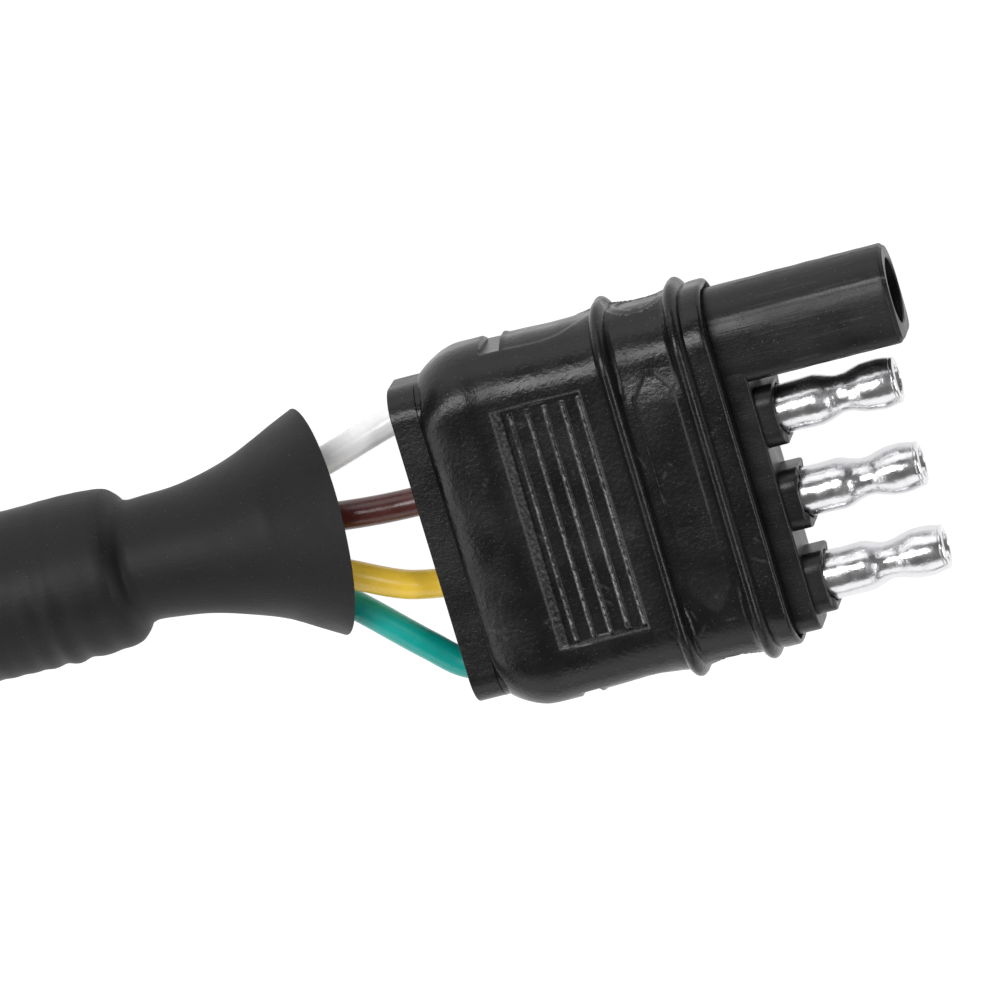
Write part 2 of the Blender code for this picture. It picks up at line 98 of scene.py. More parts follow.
def rotation(name, description, degrees):
    return bpy.props.FloatProperty(
        name=name, description=description, default=math.radians(degrees), subtype="ANGLE",
        unit="ROTATION",
    )


def colour(name, description, hex_colour):
    return bpy.props.FloatVectorProperty(
        name=name, description=description, default=linear(hex_colour), subtype="COLOR", size=3,
        min=0.0, max=1.0,
    )


class PlugSizes(bpy.types.PropertyGroup):
    """Sizes of the moulded plug that a user would change."""

    bead_height: length("Bead height", "How far each bead stands off the jacket", 1.0)
    bead_width: length("Bead width", "Width of each bead along the plug", 1.8)
    rib_height: length("Rib height", "Height of the grip ribs above their pocket", 0.36)
    rib_width: length("Rib width", "Width of a grip rib", 0.62)
    pocket_depth: length("Pocket depth", "Depth of the grip pocket", 0.42)
    line_step: length("Parting step", "Height of the step at the mould's parting line", 0.10)
    block_corner: length("Block corner", "Corner radius of the contact block", 2.5)
    collar_radius: length("Collar corner", "Corner radius of a contact collar", 1.9)
    lobe: length("Collar lobe", "How far a collar's side lobes stand forward", 0.42)
    groove_depth: length("Groove depth", "Depth of a bullet contact's waist", 0.70)


class PigtailSizes(bpy.types.PropertyGroup):
    """Sizes of the wires, loom and sleeves that a user would change."""

    wire: length("Wire", "Diameter of an insulated wire", 3.24)
    loom: length("Loom", "Outer diameter of the corrugated loom", 16.2)
    corrugation: length("Corrugation", "Pitch of the loom's rings", 2.4)
    sleeve_wall: length("Sleeve wall", "Wall of a shrunk sleeve", 0.55)
    strand: length("Strand", "Diameter of one tinned copper strand", 0.6)


class PlugColours(bpy.types.PropertyGroup):
    """Colours of the plastics."""

    jacket: colour("Jacket", "Moulded PVC jacket", "#0e0e0f")
    carrier: colour("Contact block", "Moulded contact block", "#131314")
    block: colour("Wire block", "Moulded wire block", "#101011")
    sleeve: colour("Sleeve", "Heat-shrink sleeve", "#151516")
    loom: colour("Loom", "Corrugated loom", "#161617")
    white: colour("White wire", "Insulation of the ground circuit", "#f6f6f6")
    brown: colour("Brown wire", "Insulation of the tail light circuit", "#5c2b27")
    yellow: colour("Yellow wire", "Insulation of the left turn circuit", "#fbd146")
    green: colour("Green wire", "Insulation of the right turn circuit", "#069a90")


class StageSettings(bpy.types.PropertyGroup):
    """Where the camera stands and how strong the lights are."""

    azimuth: rotation("Azimuth", "Direction of the camera round the plug", 46.1)
    elevation: rotation("Elevation", "Height of the camera above the floor", 73.3)
    roll: rotation("Roll", "Tilt of the plug in the frame", 16.7)
    distance: length("Distance", "Camera to plug", 900.0)
    width: length("Frame width", "Width seen at the plug", 109.0)
    brightness: bpy.props.FloatProperty(
        name="Brightness", description="Scale of all the lights", default=1.6, min=0.0
    )


def in_mm(group):
    """A property group's lengths as plain numbers in millimetres."""
    names = [key for key in group.bl_rna.properties.keys() if key not in ("rna_type", "name")]
    return SimpleNamespace(**{key: getattr(group, key) / MM for key in names})


# ---- Surfaces ----------------------------------------------------------------------------


def graded(start, *spans):
    """Places along a line: each span is (end, step), and the next one starts at its end."""
    starts = [start] + [end for end, _ in spans]
    parts = [
        np.linspace(a, b, max(2, round(abs(b - a) / step) + 1))[:-1]
        for a, (b, step) in zip(starts, spans)
    ]
    return np.concatenate(parts + [starts[-1:]])


def circle(steps):
    """Even angles round a circle, the first at zero."""
    return np.linspace(0, 2 * np.pi, steps, endpoint=False)


def unit(vectors):
    """Rows of vectors scaled to length 1."""
    return vectors / np.linalg.norm(vectors, axis=1)[:, None]


def leg_lengths(path):
    """Distances from each point of a path to the next."""
    return np.linalg.norm(np.diff(path, axis=0), axis=1)


def cubic(t, start, leave, end, arrive):
    """A cubic in t that runs from start to end, with slopes leave and arrive there."""
    return (
        start * (2 * t**3 - 3 * t**2 + 1) + leave * (t**3 - 2 * t**2 + t)
        + end * (3 * t**2 - 2 * t**3) + arrive * (t**3 - t**2)
    )


def smooth_curve(at, knots):
    """A curve through (place, value) knots that never overshoots: cubic pieces whose slopes
    are the harmonic mean of the slopes on either side, and zero where those differ in sign."""
    x, y = np.array(knots, float).T
    steps = np.diff(x)
    rises = np.diff(y) / steps
    slopes = np.zeros_like(x)
    same = rises[1:] * rises[:-1] > 0
    slopes[1:-1][same] = 2 * rises[1:][same] * rises[:-1][same] / (rises[1:] + rises[:-1])[same]
    slopes[0], slopes[-1] = rises[0], rises[-1]
    at = np.clip(at, x[0], x[-1])
    i = np.clip(np.searchsorted(x, at) - 1, 0, len(steps) - 1)
    t = (at - x[i]) / steps[i]
    return cubic(t, y[i], slopes[i] * steps[i], y[i + 1], slopes[i + 1] * steps[i])


def ease(value, low, high):
    """0 below low, 1 above high, and a smooth cubic between."""
    t = np.clip((value - low) / (high - low), 0, 1)
    return t * t * (3 - 2 * t)


def plateau(value, low, high, edge):
    """1 between low and high, 0 outside, easing over one edge width inside each end."""
    return ease(value, low, low + edge) * (1 - ease(value, high - edge, high))


def ridge(value, middle, width):
    """1 at the middle, falling away on both sides: the exponential of minus the square of the
    distance over the width."""
    return np.exp(-(((value - middle) / width) ** 2))


def waviness(a, b, size, seed):
    """Smooth random height between about -1 and 1: a sum of sine waves whose directions and
    phases are drawn from a seed, with wavelengths near the given size."""
    waves = 14
    draw = np.random.default_rng(seed)
    angle = draw.uniform(0, 2 * np.pi, waves)
    number = 2 * np.pi / (size * draw.uniform(0.7, 1.6, waves))
    phase = draw.uniform(0, 2 * np.pi, waves)
    total = 0.0
    for k in range(waves):
        total = total + np.sin(number[k] * (a * np.cos(angle[k]) + b * np.sin(angle[k])) + phase[k])
    return total / math.sqrt(waves)


def grid_faces(rows, columns, loop_rows):
    """Quads over a grid of points, joined round its columns and, if wanted, its rows."""
    r = np.arange(rows if loop_rows else rows - 1)[:, None]
    c = np.arange(columns)[None, :]
    down, right = (r + 1) % rows, (c + 1) % columns
    quads = (r * columns + c, r * columns + right, down * columns + right, down * columns + c)
    return np.stack([np.broadcast_to(q, (r.size, c.size)) for q in quads], -1).reshape(-1, 4)


def skin(grid, ends="loop"):
    """Points and faces of a surface on a grid of rings. "loop" joins the last ring to the
    first, "fans" closes each end with triangles to the middle of its ring, "open" leaves it."""
    rows, columns = grid.shape[:2]
    points = grid.reshape(-1, 3)
    faces = grid_faces(rows, columns, ends == "loop").tolist()
    if ends == "fans":
        middles = np.stack([grid[0].mean(0), grid[-1].mean(0)])
        points = np.vstack([points, middles])
        start = rows * columns
        c = np.arange(columns)
        right = (c + 1) % columns
        first = np.stack([right, c, np.full(columns, start)], -1)
        base = (rows - 1) * columns
        last = np.stack([base + c, base + right, np.full(columns, start + 1)], -1)
        faces += first.tolist() + last.tolist()
    return points, faces


def joined(*skins):
    """Several skins as one list of points and faces."""
    points, faces, start = [], [], 0
    for some_points, some_faces in skins:
        points.append(some_points)
        faces += [[i + start for i in face] for face in some_faces]
        start += len(some_points)
    return np.vstack(points), faces


def around_box(face_steps, corner_steps, side_steps):
    """Places round a rounded rectangle: each has a spot on the inner rectangle (-1 to 1 in Y
    and Z) and an outward direction. Flats move the spot, corners turn the direction."""
    flat = np.linspace(-1, 1, face_steps, endpoint=False)
    side = np.linspace(-1, 1, side_steps, endpoint=False)
    turn = np.linspace(0, np.pi / 2, corner_steps, endpoint=False)
    spot, way = [], []
    for quarter in range(4):
        angle = quarter * np.pi / 2 + turn
        sy, sz = ((1, 1), (-1, 1), (-1, -1), (1, -1))[quarter]
        spot.append(np.stack([np.full(corner_steps, sy), np.full(corner_steps, sz)], -1))
        way.append(np.stack([np.cos(angle), np.sin(angle)], -1))
        run = (flat, side, flat, side)[quarter]
        ahead = (quarter + 1) * np.pi / 2
        across = np.stack([-run, np.ones_like(run)], -1)
        if quarter % 2:
            across = np.stack([-np.ones_like(run), -run], -1)
        spot.append(across * (1 if quarter < 2 else -1))
        way.append(np.tile([round(np.cos(ahead)), round(np.sin(ahead))], (len(run), 1)))
    return np.vstack(spot), np.vstack(way).astype(float)


def box_rings(x, half_y, half_z, corner, around, lift=0.0, middle=0.0):
    """Rings of rounded rectangles along X, round a line at Y = middle: spot times (half size
    less corner), plus the corner radius and the lift along the outward direction."""
    spot, way = around
    x, half_y, half_z, corner = (
        np.broadcast_to(np.asarray(v, float), np.shape(x))[:, None]
        for v in (x, half_y, half_z, corner)
    )
    out = corner + lift
    y = middle + spot[:, 0] * (half_y - corner) + way[:, 0] * out
    z = MID_Z + spot[:, 1] * (half_z - corner) + way[:, 1] * out
    return np.stack([np.broadcast_to(x, y.shape), y, z], -1)


def ring_radii(radius, rows, steps):
    """Radii as a grid: one number for all, one for each ring, or a grid already."""
    radius = np.asarray(radius, float)
    return radius if radius.ndim == 2 else np.broadcast_to(radius, rows)[:, None] * np.ones(steps)


TURNED_STEPS = 96


def turned(x, radius, y):
    """Rings about a line along X at the plug's middle height: radius times cosine across and
    radius times sine upwards."""
    angle, radius = circle(TURNED_STEPS), ring_radii(radius, len(x), TURNED_STEPS)
    x = np.asarray(x, float)[:, None] * np.ones(TURNED_STEPS)
    return np.stack([x, y + radius * np.cos(angle), MID_Z + radius * np.sin(angle)], -1)


def frames_along(path):
    """Unit directions to a path's left and up, for a path that is never upright."""
    ahead = unit(np.gradient(path, axis=0))
    left = unit(np.cross([0.0, 0.0, 1.0], ahead))
    return left, np.cross(ahead, left)


def swept(path, radius, steps=28):
    """A round tube on a path: centre plus radius times cosine to the left and sine upwards."""
    left, up = frames_along(path)
    angle, radius = circle(steps), ring_radii(radius, len(path), steps)
    return (
        path[:, None]
        + radius[..., None] * np.cos(angle)[:, None] * left[:, None]
        + radius[..., None] * np.sin(angle)[:, None] * up[:, None]
    )


def round_end(count):
    """Shares of inset and setback for a rounded edge: a quarter circle."""
    angle = np.linspace(0, np.pi / 2, count)
    return 1 - np.cos(angle), 1 - np.sin(angle)


def add_piece(name, shape, material, replaced, paint=None, sharp=38.0):
    """A mesh from points in millimetres, turned outwards, riding on the plug in place of CAD
    nodes. paint holds named values per point for the material, as float attributes."""
    points, faces = shape
    points = np.asarray(points, float)
    a, b, c = (points[[face[k] for face in faces]] for k in range(3))
    d = points[[face[-1] for face in faces]]
    volume = np.einsum("ij,ij->", a, np.cross(b, c)) + np.einsum("ij,ij->", a, np.cross(c, d))
    if volume < 0:
        faces = [face[::-1] for face in faces]
    mesh = bpy.data.meshes.new(name)
    mesh.from_pydata((points * MM).tolist(), [], faces)
    mesh.materials.append(material)
    for label, values in (paint or {}).items():
        layer = mesh.attributes.new(label, "FLOAT", "POINT")
        layer.data.foreach_set("value", np.asarray(values, np.float32).ravel())
    mesh.shade_smooth()
    mesh.set_sharp_from_angle(angle=math.radians(sharp))
    piece = bpy.data.objects.new(name, mesh)
    bpy.context.scene.collection.objects.link(piece)
    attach(piece, BODY)
    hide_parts(*replaced)
    return piece


# ---- Materials ---------------------------------------------------------------------------


def put(tree, kind, inputs=None, **settings):
    """Add one node: settings are its own values, inputs are sockets to set or to link."""
    node = tree.nodes.new(kind)
    for key, value in settings.items():
        setattr(node, key, value)
    for key, value in (inputs or {}).items():
        if isinstance(value, bpy.types.NodeSocket):
            tree.links.new(value, node.inputs[key])
        else:
            node.inputs[key].default_value = value
    return node


def start_material(name, **shader_values):
    """A material with its Principled shader set, and its Object coordinates."""
    material = bpy.data.materials.new(name)
    material.use_nodes = True
    tree = material.node_tree
    for key, value in shader_values.items():
        tree.nodes["Principled BSDF"].inputs[key.replace("_", " ")].default_value = value
    return material, tree, put(tree, "ShaderNodeTexCoord").outputs["Object"]


def finished(material, **values):
    """The material, with the given values linked to its Principled shader."""
    tree = material.node_tree
    for key, value in values.items():
        tree.links.new(value, tree.nodes["Principled BSDF"].inputs[key.replace("_", " ")])
    return material


def rgba(rgb):
    """A linear colour, or a hex one, with full opacity."""
    return (*(linear(rgb) if isinstance(rgb, str) else rgb), 1.0)


def noise(tree, coords, size, detail=2.0, rough=0.5):
    """Output of a noise pattern whose features are about size millimetres across."""
    inputs = {"Vector": coords, "Scale": 1 / (size * MM), "Detail": detail, "Roughness": rough}
    return put(tree, "ShaderNodeTexNoise", inputs).outputs["Fac"]


def ranged(tree, value, low, high, to_low=0.0, to_high=1.0):
    """A value's range stretched to another, and held at its ends."""
    inputs = {"Value": value, "From Min": low, "From Max": high, "To Min": to_low, "To Max": to_high}
    return put(tree, "ShaderNodeMapRange", inputs).outputs["Result"]


def blended(tree, share, one, other):
    """Colours one and other mixed by a share."""
    inputs = {0: share, 6: one, 7: other}
    return put(tree, "ShaderNodeMix", inputs, data_type="RGBA").outputs[2]


def product(tree, one, other, operation="MULTIPLY"):
    return put(tree, "ShaderNodeMath", {0: one, 1: other}, operation=operation).outputs[0]


def raised(tree, height, depth, normal=None):
    """A bump of a real depth in millimetres, on top of an earlier one."""
    inputs = {"Height": height, "Distance": depth * MM, "Strength": 1.0}
    if normal is not None:
        inputs["Normal"] = normal
    return put(tree, "ShaderNodeBump", inputs).outputs["Normal"]


def stretched(tree, coords, share):
    """Coordinates in which a pattern is drawn out along X by 1/share."""
    inputs = {"Vector": coords, "Scale": (share, 1.0, 1.0)}
    return put(tree, "ShaderNodeMapping", inputs).outputs[0]


def painted(tree, label):
    """Values painted on a mesh under a name."""
    return put(tree, "ShaderNodeAttribute", attribute_name=label).outputs["Fac"]


def flecks(tree, coords, size, share):
    """Sparse small dots: the tips of a fine noise, about one cell in 1/share."""
    return ranged(tree, noise(tree, coords, size, 0.0), 1 - share, 1 - share + 0.03)


def moulded_plastic(name, rgb, rough, grain, grain_depth, scuff_and_highlight=None, peel=0.02, drawn=0.0):
    """Injection-moulded plastic: satin, with a fine grain from the mould, an orange peel that
    breaks up its highlights, a little dust, pale paint where the piece is marked, for scuffs and
    for painted highlights, and, if drawn, straight lines left along it as it came out of the mould."""
    material, tree, coords = start_material(name, IOR=1.5, Specular_IOR_Level=0.34)
    slow = noise(tree, coords, 5.0, 3.0)
    fine = noise(tree, coords, grain, 2.0, 0.6)
    wrinkle = noise(tree, coords, 0.5, 2.0, 0.5)
    dots = flecks(tree, coords, 0.18, 0.212)
    base = blended(tree, ranged(tree, slow, 0.35, 0.7), rgba(rgb), rgba([v * 1.35 for v in rgb]))
    base = blended(tree, product(tree, dots, 0.7), base, rgba("#4c4c4e"))
    roughness = ranged(tree, slow, 0.3, 0.7, rough - 0.06, rough + 0.08)
    if scuff_and_highlight:
        # The painted mask holds scuffs and also painted highlights along edges, rims and creases; the
        # pale colour goes into the base colour there.
        worn = painted(tree, "scuff_and_highlight")
        tatter = ranged(tree, noise(tree, coords, 0.22, 2.0, 0.6), 0.36, 0.58, 0.25, 1.0)
        worn = product(tree, worn, tatter)
        base = blended(tree, product(tree, worn, 0.9), base, rgba(scuff_and_highlight))
        roughness = product(tree, roughness, product(tree, worn, 0.18), "ADD")
    bump = raised(tree, wrinkle, peel)
    bump = raised(tree, fine, grain_depth, bump)
    if drawn:
        lines = noise(tree, stretched(tree, coords, 0.03), 0.16, 3.0, 0.6)
        bump = raised(tree, lines, drawn, bump)
    return finished(material, Base_Color=base, Roughness=roughness, Normal=bump)


def bright_plating(name):
    """Tin over rolled brass: a bright metal whose sheet was folded and crimped, so its mirror
    is broken by small dents and by faint draw lines along the contact."""
    material, tree, coords = start_material(name, Metallic=1.0, Base_Color=rgba("#dadadc"))
    lines = noise(tree, stretched(tree, coords, 0.12), 0.12, 2.0)
    dents = noise(tree, coords, 1.5, 2.0, 0.5)
    crinkle = noise(tree, coords, 0.45, 3.0, 0.6)
    rough = ranged(tree, dents, 0.3, 0.7, 0.15, 0.3)
    bump = raised(tree, lines, 0.005)
    bump = raised(tree, dents, 0.04, bump)
    bump = raised(tree, product(tree, crinkle, painted(tree, "worked")), 0.05, bump)
    return finished(material, Roughness=rough, Normal=bump)


def tinned_copper(name):
    """Tinned copper strand: a soft grey metal, dull from the dip, with a warm tint."""
    material, tree, coords = start_material(name, Metallic=1.0)
    patch = noise(tree, coords, 0.9, 2.0)
    base = blended(tree, patch, rgba("#b9b4ae"), rgba("#d6d3cf"))
    rough = ranged(tree, patch, 0.3, 0.7, 0.25, 0.42)
    bump = raised(tree, noise(tree, coords, 0.15), 0.006)
    return finished(material, Base_Color=base, Roughness=rough, Normal=bump)


def shrunk_polyolefin(name, rgb):
    """Heat-shrink tube: extruded polyolefin, dull after heating, dusty, with faint lines along
    the tube from the die and slow dents from the heat gun."""
    material, tree, coords = start_material(name, IOR=1.5, Specular_IOR_Level=0.23)
    slow = noise(tree, coords, 6.0, 3.0)
    fine = noise(tree, coords, 0.14, 2.0, 0.6)
    die_lines = noise(tree, stretched(tree, coords, 0.06), 0.35, 2.0)
    dots = flecks(tree, coords, 0.16, 0.205)
    base = blended(tree, ranged(tree, slow, 0.3, 0.7), rgba(rgb), rgba([v * 1.25 for v in rgb]))
    base = blended(tree, product(tree, dots, 0.35), base, rgba("#58585a"))
    rough = ranged(tree, slow, 0.3, 0.7, 0.46, 0.58)
    bump = raised(tree, slow, 0.12)
    bump = raised(tree, die_lines, 0.02, bump)
    bump = raised(tree, fine, 0.010, bump)
    return finished(material, Base_Color=base, Roughness=rough, Normal=bump)


def extruded_pvc(name, rgb):
    """Wire insulation: extruded PVC, semi-gloss, faintly streaked along its length by the die
    and slightly uneven round the strands inside."""
    material, tree, coords = start_material(
        name, IOR=1.53, Subsurface_Weight=0.06, Subsurface_Radius=(0.001, 0.0007, 0.0004)
    )
    slow = noise(tree, coords, 3.0, 2.0)
    fine = noise(tree, coords, 0.3, 2.0)
    base = blended(tree, ranged(tree, slow, 0.3, 0.7), rgba([v * 0.9 for v in rgb]), rgba(rgb))
    rough = ranged(tree, slow, 0.3, 0.7, 0.22, 0.34)
    bump = raised(tree, fine, 0.008, raised(tree, slow, 0.06))
    return finished(material, Base_Color=base, Roughness=rough, Normal=bump)


def opal_acrylic(name):
    """Opal acrylic light table, lit from below: so bright that nothing on it casts a shadow."""
    material, tree, coords = start_material(
        name, Roughness=0.6, Emission_Color=(1.0, 1.0, 1.0, 1.0), Emission_Strength=0.97
    )
    tint = noise(tree, coords, 40.0, 1.0)
    return finished(material, Base_Color=blended(tree, tint, rgba("#6e6e6e"), rgba("#737373")))


# ---- Cable route -------------------------------------------------------------------------

# Distances along the cable are measured from the wire block's back face, in millimetres.
LOOM_LOW, LOOM_HIGH = cad("loom")
CABLE_Z = (LOOM_LOW[2] + LOOM_HIGH[2]) / 2
CABLE_Y = 6.2
CABLE_ROUTE = (   # distance back, then sideways from CABLE_Y
    (0.0, 0.0), (45.0, 0.0), (80.0, -0.2), (118.0, -5.0), (152.0, -17.5), (186.0, -37.0),
    (218.0, -59.5), (282.0, -104.0),
)
LOOM_START, LOOM_END = 35.15, 225.0
FRONT_SLEEVE, REAR_SLEEVE = (11.45, 71.45), (205.0, 250.0)
PIGTAIL, TINNED = 305.0, 8.0
JOINT_GAP = 0.3
WIRE_START = -6.3   # X of a wire's end in its crimp
MOUTH_ROOM = 10.28   # room for the wires in the front sleeve's mouth
BUNDLE = 1.77   # half the spacing of the wires in the loom

# Distance behind the wire block, then sideways and up from the cable's axis in shares of the
# room in the sleeve's mouth; then the place in the two-by-two bundle.
WIRE_ROUTES = {
    "white": (((9.5, 0.575, 0.085), (18.0, 0.400, 0.255), (25.0, 0.227, 0.208)), (1, 1)),
    "brown": (((9.5, -0.066, 0.0), (18.0, 0.066, -0.076), (25.0, 0.142, -0.161)), (1, -1)),
    "yellow": (
        ((5.0, -0.945, 0.04), (11.0, -0.6, 0.27), (18.0, -0.35, 0.27), (25.0, -0.2, 0.2)),
        (-1, 1),
    ),
    "green": (
        (
            (4.5, -1.68, -0.057), (11.5, -0.985, 0.038), (18.0, -0.567, -0.132),
            (25.0, -0.246, -0.18),
        ),
        (-1, -1),
    ),
}
LEAVE = {"white": -0.22, "brown": 0.0, "yellow": 0.15, "green": 0.42}   # sideways, per unit back
TAIL_SIDE = {"white": -17.0, "brown": -6.0, "yellow": 7.0, "green": 19.0}   # of the bare ends


def smooth_through(route, first, last, per_leg):
    """A smooth curve through chosen points that leaves and arrives in given directions: each
    leg is a cubic whose end slopes run from the point before to the point after."""
    points = np.array(route, float)
    spans = leg_lengths(points)
    slopes = np.empty_like(points)
    slopes[1:-1] = (points[2:] - points[:-2]) / (spans[1:] + spans[:-1])[:, None]
    slopes[0], slopes[-1] = first, last
    t = (np.arange(1, per_leg + 1) / per_leg)[None, :, None]
    span = spans[:, None, None]
    legs = cubic(
        t, points[:-1, None], slopes[:-1, None] * span, points[1:, None], slopes[1:, None] * span
    )
    return np.vstack([points[:1], legs.reshape(-1, 3)])


CENTRE_ROUTE = np.array([(REAR - back, CABLE_Y + side, CABLE_Z) for back, side in CABLE_ROUTE])
STRAIGHT_BACK = (-1.0, 0.0, 0.0)
LAST_WAY = unit(np.diff(CENTRE_ROUTE[-2:], axis=0))[0]
CENTRE_LINE = smooth_through(CENTRE_ROUTE, STRAIGHT_BACK, LAST_WAY, 24)
ARC = np.concatenate([[0.0], np.cumsum(leg_lengths(CENTRE_LINE))])


def along_cable(s):
    """Points on the cable's centre line at distances s."""
    return np.stack([np.interp(s, ARC, CENTRE_LINE[:, axis]) for axis in range(3)], -1)


def cable_frames(s):
    """Points, headings and left-hand directions at distances s, in the plane of the floor."""
    s = np.atleast_1d(np.asarray(s, float))
    ahead = unit(along_cable(s + 0.5) - along_cable(s - 0.5))
    return along_cable(s), ahead, np.cross([0.0, 0.0, 1.0], ahead)


def beside_cable(s, side, z):
    """A point to the left of the cable's centre line, at a height."""
    point, _, left = cable_frames(s)
    beside = point[0] + side * left[0]
    return beside[0], beside[1], z


def wire_path(name):
    """From the crimp, straight through the wire block, then by its route to the bundle."""
    y = CIRCUITS[name]
    route, (across, up) = WIRE_ROUTES[name]
    inside = np.array([(x, y, MID_Z) for x in np.linspace(WIRE_START, REAR, 8)])
    leave = (REAR - 0.6, y, MID_Z)
    middle = [
        (REAR - s, CABLE_Y + side * MOUTH_ROOM, CABLE_Z + rise * MOUTH_ROOM)
        for s, side, rise in route
    ]
    packed = (CABLE_Y + across * BUNDLE, CABLE_Z + up * BUNDLE)
    ends = [(REAR - s, *packed) for s in (LOOM_START - 5.0, LOOM_START - JOINT_GAP)]
    slanted = (-1.0, LEAVE[name], 0.0)
    outside = smooth_through([leave] + middle + ends, slanted, STRAIGHT_BACK, 14)
    return np.vstack([inside, outside])


def tail_path(name, radius):
    """From the loom's end, out of the rear sleeve and down to the floor."""
    _, (across, up) = WIRE_ROUTES[name]
    packed_z = CABLE_Z + up * BUNDLE
    end_side, first_side = TAIL_SIDE[name], -across * BUNDLE
    _, ahead, _ = cable_frames(LOOM_END)
    route = [
        beside_cable(LOOM_END + JOINT_GAP, first_side, packed_z),
        beside_cable(LOOM_END + 8, first_side, packed_z),
        beside_cable(LOOM_END + 22, first_side + 0.12 * end_side, packed_z - 0.6),
        beside_cable(LOOM_END + 42, 0.55 * end_side, radius + 0.30 * packed_z),
        beside_cable(LOOM_END + 58, 0.85 * end_side, radius + JOINT_GAP),
        beside_cable(PIGTAIL - TINNED, end_side, radius + JOINT_GAP / 2),
    ]
    return smooth_through(route, ahead[0], ahead[0], 12), ahead[0]


# ---- Pieces: stage -----------------------------------------------------------------------

FLOOR_HALF = 3000.0
LOOK_AT = (-20.2, 2.6, 8.0)
SENSOR = 36.0
NEAREST, FARTHEST = 0.01, 10.0   # what the camera sees, in metres
WALLS_LIGHT, WALLS_SEEN = 0.14, 1.0   # the world's strength as a light, and to the camera

# Name, direction from the plug, distance, size along X and across it (mm), radiance.
SOFTBOXES = (
    ("overhead_strip", (-0.26, 0.28, 0.925), 560.0, 400.0, 165.0, 6.2),
    ("bead_strip", (0.74, -0.22, 0.635), 560.0, 150.0, 420.0, 2.9),
    ("rear_panel", (-0.74, -0.10, 0.66), 620.0, 200.0, 420.0, 1.7),
    ("left_panel", (-0.15, 0.92, 0.36), 640.0, 900.0, 420.0, 0.85),
    ("right_panel", (-0.15, -0.90, 0.42), 640.0, 900.0, 420.0, 0.75),
)


def placed(name, data, point, axes):
    """An object in the scene at a point, with its own axes along three directions."""
    thing = bpy.data.objects.new(name, data)
    thing.matrix_world = Matrix.Translation(point) @ Matrix(axes).transposed().to_4x4()
    bpy.context.scene.collection.objects.link(thing)
    return thing


class TRAILERPLUG_OT_stage(bpy.types.Operator):
    """Pale light table, soft studio lights and the camera"""

    bl_idname = "trailer_plug.stage"
    bl_label = "Stage"

    def execute(self, context):
        scene, look = context.scene, context.scene.plug_stage
        ends = (-FLOOR_HALF * MM, FLOOR_HALF * MM)
        mesh = bpy.data.meshes.new("light_table")
        mesh.from_pydata([(x, y, 0.0) for y in ends for x in ends], [], [(0, 1, 3, 2)])
        mesh.materials.append(opal_acrylic("Opal Acrylic"))
        floor = bpy.data.objects.new("light_table", mesh)
        scene.collection.objects.link(floor)

        target = Vector(LOOK_AT) * MM
        around, up = look.azimuth, look.elevation
        out = math.cos(up)
        back = Vector((out * math.cos(around), out * math.sin(around), math.sin(up)))
        level = Vector((0.0, 1.0, 0.0)).cross(back).normalized()
        upright = back.cross(level)
        right = level * math.cos(look.roll) - upright * math.sin(look.roll)
        above = back.cross(right)
        lens = bpy.data.cameras.new("camera")
        lens.sensor_width, lens.lens = SENSOR, SENSOR * look.distance / look.width
        lens.clip_start, lens.clip_end = NEAREST, FARTHEST
        axes = (right, above, back)
        scene.camera = placed("camera", lens, target + back * look.distance, axes)

        for name, way, distance, wide, tall, radiance in SOFTBOXES:
            way = Vector(way).normalized()
            lamp = bpy.data.lights.new(name, "AREA")
            lamp.shape = "RECTANGLE"
            lamp.size, lamp.size_y = wide * MM, tall * MM
            lamp.energy = look.brightness * radiance * math.pi * lamp.size * lamp.size_y
            across = way.cross(Vector((1.0, 0.0, 0.0))).normalized()
            axes = (across.cross(way), across, way)
            placed(name, lamp, target + way * distance * MM, axes)
        world = bpy.data.worlds.new("studio")
        world.use_nodes = True
        # The studio's walls light the plug faintly, and are seen as a white sweep behind it.
        sky = world.node_tree.nodes["Background"]
        sky.inputs["Color"].default_value = (1.0, 1.0, 1.0, 1.0)
        seen = put(world.node_tree, "ShaderNodeLightPath").outputs["Is Camera Ray"]
        strength = ranged(world.node_tree, seen, 0.0, 1.0, WALLS_LIGHT, WALLS_SEEN)
        world.node_tree.links.new(strength, sky.inputs["Strength"])
        scene.world = world
        scene.view_settings.view_transform = "Standard"
        return {"FINISHED"}


# ---- Pieces: pigtail ---------------------------------------------------------------------

SLEEVE_ROOM = 0.9   # from the loom's rings to the outside of a sleeve shrunk over them
RING_DEPTH, SLIT_DEPTH = 0.75, 0.5
SLIT_ANGLE, SLIT_HALF = math.radians(250), math.radians(3.0)
STRAND_COUNT, STRAND_LAY = 7, 14.0   # strands in a wire's end, and length of one turn


class TRAILERPLUG_OT_wires(bpy.types.Operator):
    """The four insulated wires from the crimps to the loom"""

    bl_idname = "trailer_plug.wires"
    bl_label = "Wires"

    def execute(self, context):
        sizes, colours = in_mm(context.scene.plug_pigtail), context.scene.plug_colours
        radius = sizes.wire / 2
        for name in CIRCUITS:
            path = wire_path(name)
            look = extruded_pvc(f"Extruded PVC {name.title()}", getattr(colours, name))
            piece = add_piece(
                f"{name}_insulation", skin(swept(path, radius), "fans"), look,
                [f"{name}_wire"],
            )
        return {"FINISHED"}


